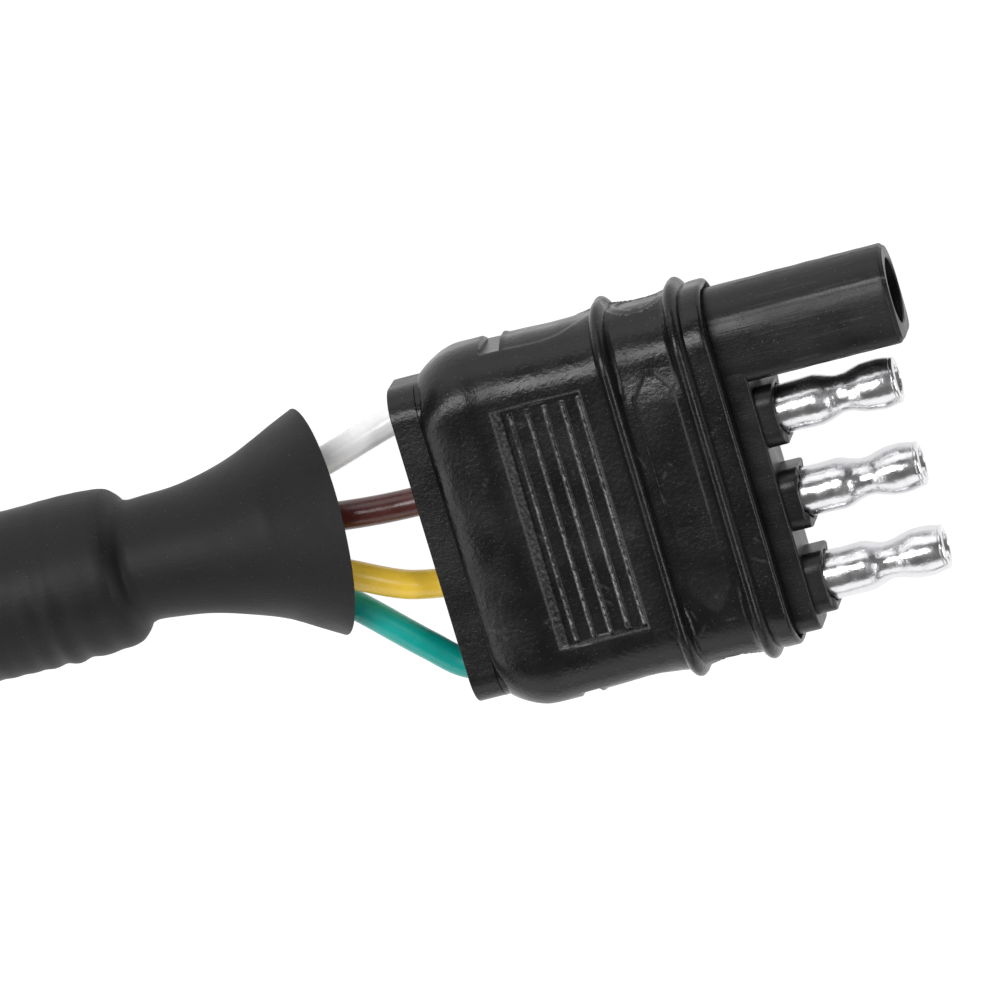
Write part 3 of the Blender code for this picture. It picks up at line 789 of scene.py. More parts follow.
def sleeve_surface(rows, around, wall, ripple):
    """A sleeve as a looped surface: rings across the cable from the mouth to the far end
    outside, then back inside, one wall further in. Each row holds its place along the cable,
    half width, half height, height of its middle, and how far its top leads and its left trails;
    ripple adds to the outside."""
    s, half_side, half_up, middle, lean, turn = rows
    angle, lip_out = circle(around), 0.12
    point, ahead, left = cable_frames(s)
    outer_lift = ripple(s[:, None], angle[None, :])

    def rings(inset, lift):
        side = (half_side[:, None] - inset + lift) * np.cos(angle)
        rise = (half_up[:, None] - inset + lift) * np.sin(angle)
        rings_at = point[:, None] + side[..., None] * left[:, None]
        back = turn[:, None] * side - lean[:, None] * rise
        rings_at = rings_at + back[..., None] * ahead[:, None]
        rings_at[..., 2] = middle[:, None] + rise
        return rings_at

    outside = rings(0.0, outer_lift)
    inside = rings(wall, outer_lift)[::-1]
    rim = 0.5 * (outside[-1:] + inside[:1]) + lip_out * ahead[-1:, None]
    lip = 0.5 * (outside[:1] + inside[-1:]) - lip_out * ahead[:1, None]
    return np.concatenate([outside, rim, inside, lip])


class TRAILERPLUG_OT_loom(bpy.types.Operator):
    """The corrugated loom and its two shrink sleeves"""

    bl_idname = "trailer_plug.loom"
    bl_label = "Loom and sleeves"

    def execute(self, context):
        sizes, colours = in_mm(context.scene.plug_pigtail), context.scene.plug_colours
        shrink = shrunk_polyolefin("Shrunk Polyolefin", colours.sleeve)
        front = self.front_sleeve(sizes, shrink)
        rear = self.rear_sleeve(sizes, shrink)

        # Rings: a rounded square wave along the cable, cut lengthwise by a closed slit.
        steps, around = 16, 72
        rings = round((LOOM_END - LOOM_START) / sizes.corrugation)
        s = np.linspace(LOOM_START, LOOM_END, rings * steps + 1)
        phase = (s - LOOM_START) / (LOOM_END - LOOM_START) * rings
        wave = ease(np.cos(2 * np.pi * (phase + 0.5)), -0.55, 0.55)
        slit = ridge(circle(around), SLIT_ANGLE, SLIT_HALF)
        radius = sizes.loom / 2 - RING_DEPTH * (1 - wave)[:, None] - SLIT_DEPTH * slit[None, :]
        path = along_cable(s)
        look = moulded_plastic("Blow-moulded Polyethylene", colours.loom, 0.42, 0.3, 0.01)
        loom = add_piece(
            "corrugated_loom", skin(swept(path, radius, around), "fans"), look,
            ["loom"], sharp=60,
        )
        return {"FINISHED"}

    def front_sleeve(self, sizes, look):
        """Flared, obliquely cut mouth, narrow waist, then tight over the loom's rings."""
        grip, waist = sizes.loom / 2 + SLEEVE_ROOM, 6.74
        mouth, far_end = FRONT_SLEEVE
        s = graded(mouth, (30.0, 0.4), (39.0, 0.2), (far_end, 0.35))
        half_side = smooth_curve(s, (
            (mouth, 12.8), (14.1, 11.6), (16.7, 10.35), (19.3, 9.25), (22.0, 8.38), (24.6, 7.7),
            (27.2, 7.22), (29.9, 6.92), (32.2, 6.78), (33.2, waist + 0.3), (34.0, 8.0), (34.9, 8.7),
            (36.2, grip - 0.05), (39.0, grip + 0.1), (60.0, grip), (far_end, grip - 0.1),
        ))
        half_up = smooth_curve(s, (
            (mouth, 10.45), (14.1, 9.75), (16.7, 9.1), (19.3, 8.45), (22.0, 7.9), (24.6, 7.45),
            (27.2, 7.1), (29.9, 6.85), (32.2, 6.76), (33.2, waist + 0.3), (34.0, 8.0),
            (34.9, 8.65), (36.2, grip - 0.1), (39.0, grip - 0.05), (far_end, grip - 0.1),
        ))
        middle = np.maximum(CABLE_Z, half_up + 0.1)
        open_share = smooth_curve(s, (
            (mouth, 1.0), (15.0, 0.7), (20.0, 0.3), (27.0, 0.0), (far_end, 0.0),
        ))

        def ripple(at, angle):
            """Loom rings printed through the wall, folds where it steps up, slow dents."""
            over = ease(at, 36.0, 38.5)
            rings = 0.045 * over * np.cos(2 * np.pi * (at - LOOM_START) / sizes.corrugation)
            low_side = 0.5 + 0.5 * np.cos(angle - math.radians(10))
            fold = 0.16 * low_side * ridge(at, 41.0, 4.0)
            fold = fold * np.cos(2 * np.pi * (at - 35.4) / 3.3)
            dents = 0.035 * waviness(at, 9.0 * np.sin(angle), 8.0, 5)
            return rings * (0.6 + 0.4 * np.cos(angle)) + fold + dents * ease(at, 20.0, 30.0)

        rows = (s, half_side, half_up, middle, 0.46 * open_share, 0.085 * open_share)
        grid = sleeve_surface(rows, 128, sizes.sleeve_wall, ripple)

        # The mouth was pushed a little back and to one side as the tube shrank.
        back = REAR - grid[..., 0]
        grid[..., 0] -= 0.4 * (1 - ease(back, 14.0, 26.0))
        grid[..., 1] -= 0.4 * (1 - ease(back, 20.0, 32.0))
        return add_piece("front_shrink_sleeve", skin(grid), look, ["front_sleeve"])

    def rear_sleeve(self, sizes, look):
        """The same tube at the loom's far end: tight on the rings, then open over the tails."""
        grip = sizes.loom / 2 + SLEEVE_ROOM
        start, mouth = REAR_SLEEVE
        s = graded(start, (LOOM_END - 3, 0.4), (LOOM_END + 4, 0.25), (mouth, 0.5))
        half_side = smooth_curve(s, (
            (start, grip - 0.1), (LOOM_END - 1.0, grip), (LOOM_END + 0.5, 8.4),
            (LOOM_END + 1.8, 7.2), (LOOM_END + 3.0, 6.76), (LOOM_END + 8.0, 7.0),
            (LOOM_END + 16.0, 8.0), (mouth, 9.55),
        ))
        half_up = half_side - 0.75 * ease(s, LOOM_END + 8.0, mouth)
        middle, level = np.full_like(s, CABLE_Z), np.zeros_like(s)

        def ripple(at, angle):
            """Loom rings printed through the wall, then slow dents."""
            rings = 0.10 * (1 - ease(at, LOOM_END - 3, LOOM_END - 1))
            rings = rings * np.cos(2 * np.pi * (at - LOOM_START) / sizes.corrugation)
            return rings + 0.06 * waviness(at, 9.0 * np.sin(angle), 6.0, 8)

        rows = [row[::-1] for row in (s, half_side, half_up, middle, level, level)]
        grid = sleeve_surface(rows, 112, sizes.sleeve_wall, ripple)
        return add_piece("rear_shrink_sleeve", skin(grid), look, ["rear_sleeve"])


class TRAILERPLUG_OT_tails(bpy.types.Operator):
    """The four wire tails and their tinned ends"""

    bl_idname = "trailer_plug.tails"
    bl_label = "Wire tails"

    def execute(self, context):
        sizes = in_mm(context.scene.plug_pigtail)
        copper = tinned_copper("Tinned Copper")
        radius = sizes.wire / 2
        for name in CIRCUITS:
            path, ahead = tail_path(name, radius)
            bare = path[-1] + ahead * np.linspace(JOINT_GAP, TINNED, 40)[:, None]
            strands = [self.strand(bare, k, sizes.strand / 2) for k in range(STRAND_COUNT)]
            tinned = add_piece(
                f"{name}_tinned_end", joined(*strands), copper,
                [f"{name}_tail_strands"],
            )
            look = bpy.data.materials[f"Extruded PVC {name.title()}"]
            piece = add_piece(
                f"{name}_tail_insulation", skin(swept(path, radius), "fans"), look,
                [f"{name}_tail"],
            )
            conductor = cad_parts[f"{name}_conductor"].data
            conductor.materials.clear()
            conductor.materials.append(copper)
        return {"FINISHED"}

    def strand(self, path, k, radius):
        """One strand: the last runs straight along the path, the others wind round it, each at
        the path plus a little over two radii times cosine to the left and sine upwards."""
        left, up = frames_along(path)
        along = np.linalg.norm(path - path[0], axis=1)
        wound = STRAND_COUNT - 1
        angle = 2 * np.pi * (k / wound + along / STRAND_LAY)
        out = 0.0 if k == wound else 2.08 * radius
        centre = path + out * (np.cos(angle)[:, None] * left + np.sin(angle)[:, None] * up)
        return skin(swept(centre, radius, 12), "fans")


# ---- Pieces: plug ------------------------------------------------------------------------

GRIP_X = (-17.2, -7.1)
GRIP_HALF = 13.65
RIB_X = (-15.2, -13.25, -11.3, -9.32, -7.45)
BEAD_X = (-3.7, 4.6)
BEAD_REACH = 1.1
JACKET_CORNER = 6.0
JACKET_FRONT = (20.65, 7.06)   # half width and half height of the jacket's front end
NOTCH_DEPTH, NOTCH_HALF = 0.95, 4.1
SIDE_STARTS = 12.0   # beyond this Y a point is on a narrow side


class TRAILERPLUG_OT_jacket(bpy.types.Operator):
    """The overmoulded PVC jacket with its beads, grip ribs and mould marks"""

    bl_idname = "trailer_plug.jacket"
    bl_label = "Jacket"

    def execute(self, context):
        sizes, colours = in_mm(context.scene.plug_sizes), context.scene.plug_colours
        rear, front, edge = JACKET_LOW[0], JACKET_HIGH[0], 0.5
        wide, high = JACKET_FRONT
        x = graded(
            rear, (rear + 2.0, 0.16), (GRIP_X[0] - 0.3, 0.35), (GRIP_X[1] + 0.35, 0.11),
            (BEAD_X[0] - BEAD_REACH, 0.4), (BEAD_X[0] + BEAD_REACH, 0.09),
            (BEAD_X[1] - BEAD_REACH, 0.16), (BEAD_X[1] + BEAD_REACH, 0.09), (front - edge, 0.3),
        )
        half_y = smooth_curve(x, (
            (rear, 18.2), (rear + 0.4, 18.6), (rear + 1.1, 19.1), (rear + 2.1, 19.65),
            (rear + 3.3, 20.15), (rear + 4.6, 20.45), (-17.5, 20.55), (-13.0, 20.42),
            (-9.0, 20.3), (-6.0, 20.35), (-4.5, 20.5), (0.0, 20.5), (5.5, 20.5), (6.2, 20.62),
            (front, wide),
        ))
        half_z = smooth_curve(x, (
            (rear, 5.9), (rear + 0.3, 6.18), (rear + 1.1, 6.5), (rear + 2.1, 6.75),
            (rear + 3.2, 6.92), (rear + 4.3, 7.03), (-19.9, 7.08), (-19.2, 7.0), (-18.5, 6.84),
            (-17.9, 6.76), (-17.3, 6.75), (-7.0, 6.78), (-6.0, 6.88), (-4.6, 7.0), (5.5, 7.0),
            (6.2, high), (front, high),
        ))
        around = around_box(124, 36, 10)
        flat = box_rings(x, half_y, half_z, JACKET_CORNER, around)
        lift, scuff_and_highlight = self.details(flat, around[1], sizes)
        outside = box_rings(x, half_y, half_z, JACKET_CORNER, around, lift)
        outside[..., 1] -= self.side_marks(flat, sizes) * np.sign(flat[..., 1])

        # The notch has a flat floor, so its ends stand deeper in the rounded corner.
        floor_y = half_y[:, None] - NOTCH_DEPTH
        in_notch = plateau(flat[..., 0], GRIP_X[0], GRIP_X[0] + 2.4, 0.12)
        in_notch = in_notch * plateau(flat[..., 2] - MID_Z, -NOTCH_HALF, NOTCH_HALF, 0.2)
        sunk = np.minimum(np.abs(outside[..., 1]), floor_y)
        on_side = np.abs(flat[..., 1]) > SIDE_STARTS
        outside[..., 1] += on_side * in_notch * (sunk * np.sign(flat[..., 1]) - outside[..., 1])

        # Front lip: a quarter-round edge, then the pocket that the contact block fills.
        inset, setback = round_end(5)
        lip = box_rings(
            front - edge * setback, wide - 0.3 * inset, high - edge * inset, JACKET_CORNER, around
        )
        pocket = np.array([   # place along X, half width, half height, corner radius
            (front - 0.02, 19.95, 4.85, 2.5), (front - 0.5, 19.8, 4.65, 2.5), (1.7, 19.8, 4.65, 2.5),
            (1.7, 17.55, 4.25, 2.5), (-9.1, 17.55, 4.25, 2.5), (-9.1, 17.95, 5.6, 3.4),
            (rear + 0.3, 17.95, 5.6, 3.4), (rear + 0.05, 17.99, 5.62, 3.5),
            (rear - 0.03, 18.05, 5.75, 3.5),
        ])
        grid = np.concatenate([outside, lip[1:], box_rings(*pocket.T, around)])
        scuffed_and_highlighted = np.zeros(grid.shape[:2])
        scuffed_and_highlighted[:len(x)] = scuff_and_highlight
        look = moulded_plastic(
            "Moulded PVC", colours.jacket, 0.28, 0.18, 0.014, scuff_and_highlight="#a2a2a0", peel=0.045
        )
        add_piece("jacket", skin(grid), look, ["overmould_body"], {"scuff_and_highlight": scuffed_and_highlighted})
        return {"FINISHED"}

    def details(self, flat, way, sizes):
        """Height added along the outward direction, and how much pale scuff and painted highlight
        each point gets.
        """
        x, y = flat[..., 0], flat[..., 1]
        lift = 0.02 * waviness(x, y, 7.0, 3) + 0.006 * waviness(x, y, 2.2, 4)
        for bead in BEAD_X:
            across = (x - bead) / (sizes.bead_width / 2)
            round_top = np.sqrt(np.clip(1 - across**2, 0, 1))
            bead_lift = sizes.bead_height * (0.35 * round_top + 0.65 * round_top**2)
            lift = lift * (1 - round_top) + bead_lift
        on_face = np.abs(way[:, 1]) > 0.999

        # Grip pocket with a raised left border and five ribs, each with a burr on its rear edge.
        inside = plateau(x, *GRIP_X, 0.22) * plateau(y, -GRIP_HALF, GRIP_HALF, 0.3) * on_face
        border = 1 - ease(x, GRIP_X[0] + 1.0, GRIP_X[0] + 1.2)
        height = 0.9 * sizes.rib_height * border
        ragged = waviness(0.3 * x, y, 0.9, 11) + 0.7 * waviness(0.3 * x, y, 0.3, 12)
        stronger_to_low_y = 0.62 + 0.38 * ease(-y, -9.0, 3.0)
        scuff_and_highlight = 0.16 * border * (0.6 + 0.4 * waviness(x, y, 0.6, 14)) * inside
        # A thin painted highlight runs round the pocket's outline.
        past_x = np.abs(x - sum(GRIP_X) / 2) - (GRIP_X[1] - GRIP_X[0]) / 2
        past = np.maximum(past_x, np.abs(y) - GRIP_HALF)
        scuff_and_highlight = scuff_and_highlight + 0.24 * ridge(past, 0.0, 0.11) * on_face
        half, flank = sizes.rib_width / 2, 0.17
        reach = plateau(y, -GRIP_HALF + 0.3, GRIP_HALF - 0.8, 0.35)
        for rib in RIB_X:
            body = plateau(x, rib - half, rib + half, flank)
            burr = ridge(x, rib - half + flank + 0.05 * ragged, 0.11)
            burr_height = (0.05 + 0.06 * np.clip(ragged, -0.5, 2.0)) * burr
            height = np.maximum(height, (sizes.rib_height * body + burr_height) * reach)
            # Both rib edges get painted highlights: the burred rear edge, stronger towards low Y, and
            # a thin line along the front edge.
            edge = ridge(x, rib + half - 0.12, 0.07)
            scuff_and_highlight = scuff_and_highlight + reach * inside * (
                stronger_to_low_y * np.clip(0.85 + 0.45 * ragged, 0.3, 1.3) * burr + 0.36 * edge
            )
        lift = lift + inside * (height - sizes.pocket_depth)

        # Shallow panel between the beads, with cut corners, a painted highlight along its rim towards
        # +Y, and faint pale wear and painted sheen over its rough ends.
        middle, half = 0.62, 2.35
        beyond_x, beyond_y = np.abs(x - middle) - half, np.abs(y) - 13.7
        beyond = np.maximum(np.maximum(beyond_x, beyond_y), 0.62 * (beyond_x + 0.7 * beyond_y) + 1.05)
        panel = ease(-beyond, 0.0, 0.22) * on_face
        rough_sheen_ends = ease(np.abs(y), 7.0, 12.5)
        sunk = 0.03 + 0.10 * ease(y, -11.0, 2.0)
        lift = lift - panel * (sunk + 0.005 * rough_sheen_ends * waviness(x, y, 0.9, 15))
        rim = ridge(beyond, 0.0, 0.09) * on_face * (np.abs(beyond_x) > 0.25)
        scuff_and_highlight = scuff_and_highlight + 0.22 * rim * ease(y, -4.0, 9.0) + 0.03 * panel * rough_sheen_ends

        # Between the beads the broad face falls away towards the narrow sides.
        band = plateau(x, BEAD_X[0] + 0.6, BEAD_X[1] - 0.6, 0.8)
        fall = 0.45
        lift = lift - fall * band * on_face * ease(np.abs(y), 10.0, 14.6)
        lift = lift - fall * band * ~on_face * np.abs(way[..., 1])

        # Small moulding scars on the broad faces.
        draw = np.random.default_rng(21)
        for _ in range(26):
            at_x, at_y = draw.uniform(-24, 7), draw.uniform(-16, 16)
            turn, long, thin = draw.uniform(0, np.pi), draw.uniform(0.3, 1.1), 0.10
            along = (x - at_x) * np.cos(turn) + (y - at_y) * np.sin(turn)
            over = -(x - at_x) * np.sin(turn) + (y - at_y) * np.cos(turn)
            mark = np.exp(-((along / long) ** 4) - (over / thin) ** 2) * (way[:, 1] > 0)
            lift = lift - 0.03 * mark
            scuff_and_highlight = scuff_and_highlight + 0.12 * mark
        return lift, np.clip(scuff_and_highlight, 0, 1)

    def side_marks(self, flat, sizes):
        """Depth of the marks on the narrow sides: the disc, the scoop and the parting step."""
        x, z = flat[..., 0], flat[..., 2] - MID_Z
        facing = (np.abs(flat[..., 1]) > SIDE_STARTS).astype(float)
        away = np.hypot(x - 0.45, z)
        disc = 0.22 * (1 - ease(away, 3.55, 3.8)) + 0.20 * (1 - ease(away, 2.3, 2.5))
        ring = 0.10 * ridge(away, 3.7, 0.14)
        line = smooth_curve(x, (
            (-25.1, 0.2), (-17.3, 2.2), (-14.7, 3.9), (-11.5, 4.0), (-8.5, 3.7), (-6.5, 2.7),
            (-4.6, 1.6), (-3.0, 4.2), (4.6, 4.2), (7.9, 4.2),
        ))
        parting = sizes.line_step * (1 - ease(np.abs(z) - line, -0.06, 0.06)) * (x < 5.4)
        scoop = 0.16 * (1 - ease(np.abs(z) - line, -0.3, 0.05)) * plateau(x, -14.7, -4.5, 0.5)
        return facing * (disc - ring - 0.4 * parting * (x > -3.0) + scoop)


class TRAILERPLUG_OT_contact_block(bpy.types.Operator):
    """The contact block's front face, its three collars and the shroud tube"""

    bl_idname = "trailer_plug.contact_block"
    bl_label = "Contact block"

    def execute(self, context):
        sizes, colours = in_mm(context.scene.plug_sizes), context.scene.plug_colours
        look = moulded_plastic(
            "Moulded Nylon", colours.carrier, 0.36, 0.13, 0.010, scuff_and_highlight="#7e7e80", drawn=0.016
        )
        half_y, half_z, edge = 19.5, 4.35, 0.32
        around = around_box(90, 12, 16)
        inset, setback = round_end(5)
        straight = graded(2.5, (BLOCK_FACE - edge, 0.6))[:-1]
        x = np.concatenate([
            [-9.0, 1.98, 2.0, 2.3], straight, BLOCK_FACE - edge * setback, np.full(3, BLOCK_FACE),
        ])
        shrink = np.concatenate([
            [2.2, 2.2, 0.3, 0.0], np.zeros_like(straight), edge * inset, [1.0, 2.2, 4.0],
        ])
        corner = np.maximum(sizes.block_corner - shrink, 0.3)
        tube_side = 1.5   # what the block lacks in width on the tube's side, halved
        inner = half_y - tube_side
        rings = box_rings(x, inner - shrink, half_z - shrink, corner, around, middle=-tube_side)
        rings[..., 2] += 0.015 * waviness(rings[..., 0], rings[..., 1], 3.0, 31)
        add_piece("contact_block", skin(rings, "fans"), look, ["contact_carrier"])
        for seed, (name, y) in enumerate(CIRCUITS.items()):
            if name != "white":
                self.collar(name, y, sizes, look, seed)
        self.tube(half_y, half_z, look)
        return {"FINISHED"}

    def collar(self, name, y, sizes, look, seed):
        """A rounded-square collar whose worn front edge stands forward at its two sides: its
        reach grows with the distance from the middle and is cut back towards top and bottom."""
        around = around_box(22, 14, 26)
        spot, way = around
        half, bore, corner = (3.45, 3.85), 2.93, sizes.collar_radius
        base, front = BLOCK_FACE - 0.6, 12.45
        side = np.abs(spot[:, 0] * (half[0] - corner) + corner * way[:, 0]) / half[0]
        top = spot[:, 1] * (half[1] - corner) + corner * way[:, 1]
        turn = np.arctan2(way[:, 1], way[:, 0])
        worn = waviness(3 * np.cos(turn), 3 * np.sin(turn), 2.5, 40 + seed)
        reach = -0.25 + sizes.lobe * ease(side, 0.45, 0.95) * (1 - 0.4 * ease(np.abs(top), 2.2, 4.0))
        reach = reach + 0.06 * worn
        rings = []
        for share, inset in ((0.0, 0.0), (0.55, 0.0), (0.9, 0.0), (0.97, 0.03), (1.0, 0.15)):
            halves = (half[0] - inset, half[1] - inset)
            ring = box_rings(np.zeros(1), *halves, corner, around, middle=y)[0]
            ring[:, 0] = base + share * (front + reach - base)
            rings.append(ring)
        tip, direction = rings[-1][:, 0], unit(rings[-1][:, 1:] - (y, MID_Z))
        for x, grow in ((tip, 0.25), (tip - 0.12, 0.0), (tip - 1.2, 0.0), (base, 0.0)):
            ring = ring.copy()
            ring[:, 0], ring[:, 1:] = x, (y, MID_Z) + direction * (bore + grow)
            rings.append(ring)
        shape = skin(np.stack(rings))
        add_piece(f"{name}_collar", shape, look, ["contact_carrier"])

    def tube(self, half_y, half_z, look):
        """The shroud: round on the outer side, square towards the pins, with a round bore."""
        middle, root, bore, steps = CIRCUITS["white"], 7.4, 3.62, 320
        turn = circle(steps)
        x = graded(root, (BLOCK_FACE, 0.5), (TUBE_TIP - 0.5, 0.45), (TUBE_TIP, 0.12))
        half = half_y - middle + 0.22
        high = half_z + 0.2
        chamfer = 0.35 * ease(x, TUBE_TIP - 0.45, TUBE_TIP)

        # A superellipse whose power falls from 5.5 on the inner side to 2.15 on the outer side.
        power = 2.15 + 3.6 * ease(-np.cos(turn), -0.15, 0.75)
        cosine, sine = np.cos(turn), np.sin(turn)
        reach = (np.abs(cosine) ** power + np.abs(sine) ** power) ** (-1 / power)
        y = middle + (half - chamfer[:, None]) * reach * cosine
        z = MID_Z + (high - chamfer[:, None]) * reach * sine
        along = x[:, None] * np.ones(steps)
        flash = ridge(turn, np.pi * 0.06, 0.035) * ease(along, root + 3.0, root + 5.0)
        ragged = np.clip(waviness(along, 0 * along, 1.3, 51) + 0.3, 0, 2)
        y = y + 0.07 * flash * ragged + 0.012 * waviness(along, z, 3.0, 52)

        # The mould's crease along the upper side, with a painted highlight along it, and draw
        # scratches beside it.
        crease_highlight = ridge(turn, math.radians(63), 0.028) * ease(along, root + 6.0, TUBE_TIP - 6.0)
        z = z - 0.05 * ease(turn, math.radians(62), math.radians(65)) * (z > MID_Z)
        scuffed_and_highlighted = 0.5 * crease_highlight + 0.35 * flash * np.clip(ragged - 0.4, 0, 1)
        draw = np.random.default_rng(8)
        for _ in range(22):
            at, start = math.radians(draw.uniform(20, 165)), draw.uniform(root + 3, 26)
            long = draw.uniform(2, 9)
            line = ridge(turn, at, 0.016) * plateau(along, start, start + long, 1.0)
            scuffed_and_highlighted = scuffed_and_highlighted + draw.uniform(0.04, 0.16) * line
        outside = np.stack([along, y, z], -1)
        depths = np.array([TUBE_TIP + 0.02, TUBE_TIP - 0.12, TUBE_TIP - 1.0, 21.0, root])
        radii = np.array([bore + 0.16, bore + 0.02, bore, bore, bore])
        angle = np.arctan2(outside[-1, :, 2] - MID_Z, outside[-1, :, 1] - middle)
        bores = np.stack([
            depths[:, None] * np.ones(steps),
            middle + radii[:, None] * np.cos(angle),
            MID_Z + radii[:, None] * np.sin(angle),
        ], -1)
        grid = np.concatenate([outside, bores])
        paint = {"scuff_and_highlight": np.vstack([np.clip(scuffed_and_highlighted, 0, 1), np.zeros(bores.shape[:2])])}
        add_piece("shroud_tube", skin(grid), look, ["contact_carrier"], paint)


class TRAILERPLUG_OT_wire_block(bpy.types.Operator):
    """The rear block with its four wire holes"""

    bl_idname = "trailer_plug.wire_block"
    bl_label = "Wire block"

    def execute(self, context):
        colours = context.scene.plug_colours
        look = moulded_plastic("Moulded Grained Nylon", colours.block, 0.33, 0.2, 0.03, peel=0.05)
        half_y, half_z = INSERT_HIGH[1] + 0.3, INSERT_HIGH[2] - MID_Z
        rear, front = REAR - 0.4, INSERT_HIGH[0]
        corner, edge, hole, rim = 3.4, 0.15, 1.8, 0.15
        around = around_box(96, 20, 8)
        inset, setback = round_end(6)
        straight = graded(rear + 1.2, (front, 1.2))
        x = np.concatenate([rear + edge * inset, straight, [front]])
        shrink = np.concatenate([edge * setback, np.zeros_like(straight), [half_z - 0.1]])
        corners = np.maximum(corner - shrink, 0.05)
        shell = box_rings(x, half_y - shrink, half_z - shrink, corners, around)

        # Rear face: four cells, each of rings from its outline in to a round hole.
        cells = []
        angle = circle(TURNED_STEPS)
        way = np.stack([np.cos(angle), np.sin(angle)], -1)
        flat = np.array([half_y, half_z]) - edge
        round_by = corner - edge
        farthest, tries = 12.0, 240   # each cell's outline is found by steps out from its hole
        far = np.linspace(0, 1, tries)[:, None, None] * way * farthest
        for y in CIRCUITS.values():
            past = np.abs(far + (y, 0.0)) - flat + round_by
            outside = np.hypot(*np.maximum(past, 0).transpose(2, 0, 1)) > round_by
            inwards = (far[..., 0] * y < 0) | (abs(y) < PITCH)
            outside |= (np.abs(far[..., 0]) > PITCH / 2) & inwards
            reach = farthest * (np.argmax(outside, 0) - 0.5) / (tries - 1)
            out = hole + rim + np.array([1.0, 0.5, 0.12, 0.0])[:, None] * (reach - hole - rim)
            rings = turned([rear, rear, rear, rear + 0.02], out, y)
            wall = turned([rear + rim, rear + 6.0, rear + 6.0], [hole, hole, 0.2], y)
            cells.append(skin(np.concatenate([rings, wall]), "open"))
        add_piece(
            "wire_block", joined(skin(shell, "open"), *cells), look, ["rear_insert"]
        )
        return {"FINISHED"}


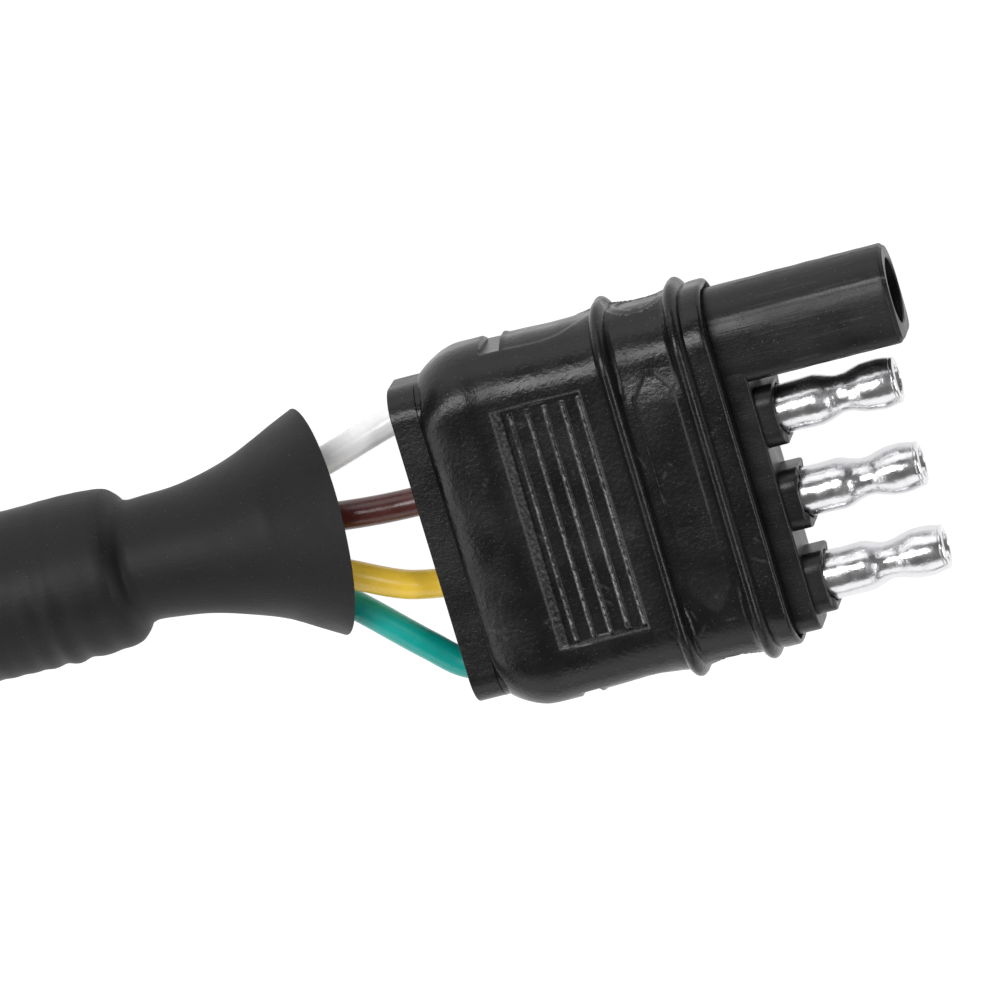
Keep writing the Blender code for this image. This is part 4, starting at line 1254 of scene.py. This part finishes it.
class TRAILERPLUG_OT_contacts(bpy.types.Operator):
    """Three bullet contacts and the socket inside the shroud tube"""

    bl_idname = "trailer_plug.contacts"
    bl_label = "Contacts"

    def execute(self, context):
        sizes = in_mm(context.scene.plug_sizes)
        look = bright_plating("Tin-plated Brass")
        bare, tip, crimp_back = 12.55, PIN_HIGH[0], PIN_LOW[0]
        full = (PIN_HIGH[2] - PIN_LOW[2]) / 2 + 0.02
        waist = full - sizes.groove_depth
        for seed, name in enumerate(("brown", "yellow", "green")):
            x = graded(crimp_back, (5.0, 0.5), (bare, 0.4), (tip - 0.8, 0.12), (tip, 0.03))
            radius = smooth_curve(x, (
                (crimp_back, 2.08), (5.2, 2.1), (6.0, full), (bare + 1.5, full - 0.06),
                (bare + 3.9, full), (bare + 4.7, full - 0.14), (bare + 5.7, waist + 0.2),
                (bare + 6.6, waist), (bare + 7.3, waist + 0.05), (bare + 8.4, full - 0.34),
                (bare + 9.6, full - 0.06), (bare + 10.9, full), (bare + 11.8, full - 0.1),
                (tip - 0.7, full - 0.22), (tip - 0.5, full - 0.27), (tip - 0.45, full - 0.33),
                (tip - 0.4, full - 0.27), (tip - 0.1, full - 0.36), (tip, full - 0.55),
            ))
            turn, along = circle(TURNED_STEPS), x[:, None] - bare
            grid_r = radius[:, None] + 0.05 * ridge(along, 6.4, 2.3) * np.cos(3 * turn + seed)
            grid_r = grid_r + 0.022 * waviness(along, 2.8 * np.cos(turn) + 0 * along, 3.0, 60 + seed)
            grid_r = grid_r * (1 + 0.02 * ease(along, 9.0, 12.0) * np.cos(2 * (turn - 0.9 * seed)))
            grid_r = grid_r - 0.18 * ridge(turn, math.radians(262), 0.06)
            end = turned(
                [tip + 0.02, tip - 0.02, tip - 0.25, tip - 3.0, tip - 9.0],
                [1.9, 1.7, 1.6, 1.6, 1.6], CIRCUITS[name],
            )
            grid = np.concatenate([turned(x, grid_r, CIRCUITS[name]), end])
            worked = np.zeros(grid.shape[:2])
            worked[:len(x)] = 0.25 + 0.75 * ridge(along, 6.8, 3.2)
            worked = np.append(worked.ravel(), [0.0, 0.0])
            add_piece(
                f"{name}_bullet", skin(grid, "fans"), look, [f"{name}_male_terminal"],
                {"worked": worked}, sharp=50,
            )
        mouth = SOCKET_MOUTH
        profile = np.array([   # place along X, radius
            (crimp_back, 1.9), (crimp_back + 0.3, 2.08), (8.3, 2.1), (9.1, 3.3), (9.6, 3.42),
            (mouth - 0.3, 3.42), (mouth, 3.3), (mouth, 3.05), (mouth - 0.6, 2.88), (11.0, 2.88),
        ])
        grid = turned(*profile.T, CIRCUITS["white"])
        worked = np.full(grid.shape[0] * grid.shape[1] + 2, 0.2)
        add_piece(
            "white_socket", skin(grid, "fans"), look, ["white_female_terminal"],
            {"worked": worked},
        )
        return {"FINISHED"}


# ---- Panel and registration --------------------------------------------------------------

STEPS = (
    TRAILERPLUG_OT_stage,
    TRAILERPLUG_OT_wires,
    TRAILERPLUG_OT_loom,
    TRAILERPLUG_OT_tails,
    TRAILERPLUG_OT_jacket,
    TRAILERPLUG_OT_contact_block,
    TRAILERPLUG_OT_wire_block,
    TRAILERPLUG_OT_contacts,
)


class VIEW3D_PT_trailer_plug(bpy.types.Panel):
    """Builds the plug piece by piece"""

    bl_label = "Trailer Plug"
    bl_idname = "VIEW3D_PT_trailer_plug"
    bl_space_type = "VIEW_3D"
    bl_region_type = "UI"
    bl_category = "Trailer Plug"

    def draw(self, context):
        layout = self.layout
        for step in STEPS:
            layout.operator(step.bl_idname)
        for name in GROUPS:
            group, box = getattr(context.scene, name), layout.box()
            for key in group.bl_rna.properties.keys():
                if key not in ("rna_type", "name"):
                    box.prop(group, key)


GROUPS = {
    "plug_sizes": PlugSizes,
    "plug_pigtail": PigtailSizes,
    "plug_colours": PlugColours,
    "plug_stage": StageSettings,
}


def register():
    for group in GROUPS.values():
        bpy.utils.register_class(group)
    for name, group in GROUPS.items():
        setattr(bpy.types.Scene, name, bpy.props.PointerProperty(type=group))
    for item in (*STEPS, VIEW3D_PT_trailer_plug):
        bpy.utils.register_class(item)


def unregister():
    for item in reversed((*STEPS, VIEW3D_PT_trailer_plug)):
        bpy.utils.unregister_class(item)
    for name, group in reversed(GROUPS.items()):
        delattr(bpy.types.Scene, name)
        bpy.utils.unregister_class(group)


def main():
    register()
    for step in STEPS:
        group, action = step.bl_idname.split(".")
        getattr(getattr(bpy.ops, group), action)()


if __name__ == "__main__":
    main()
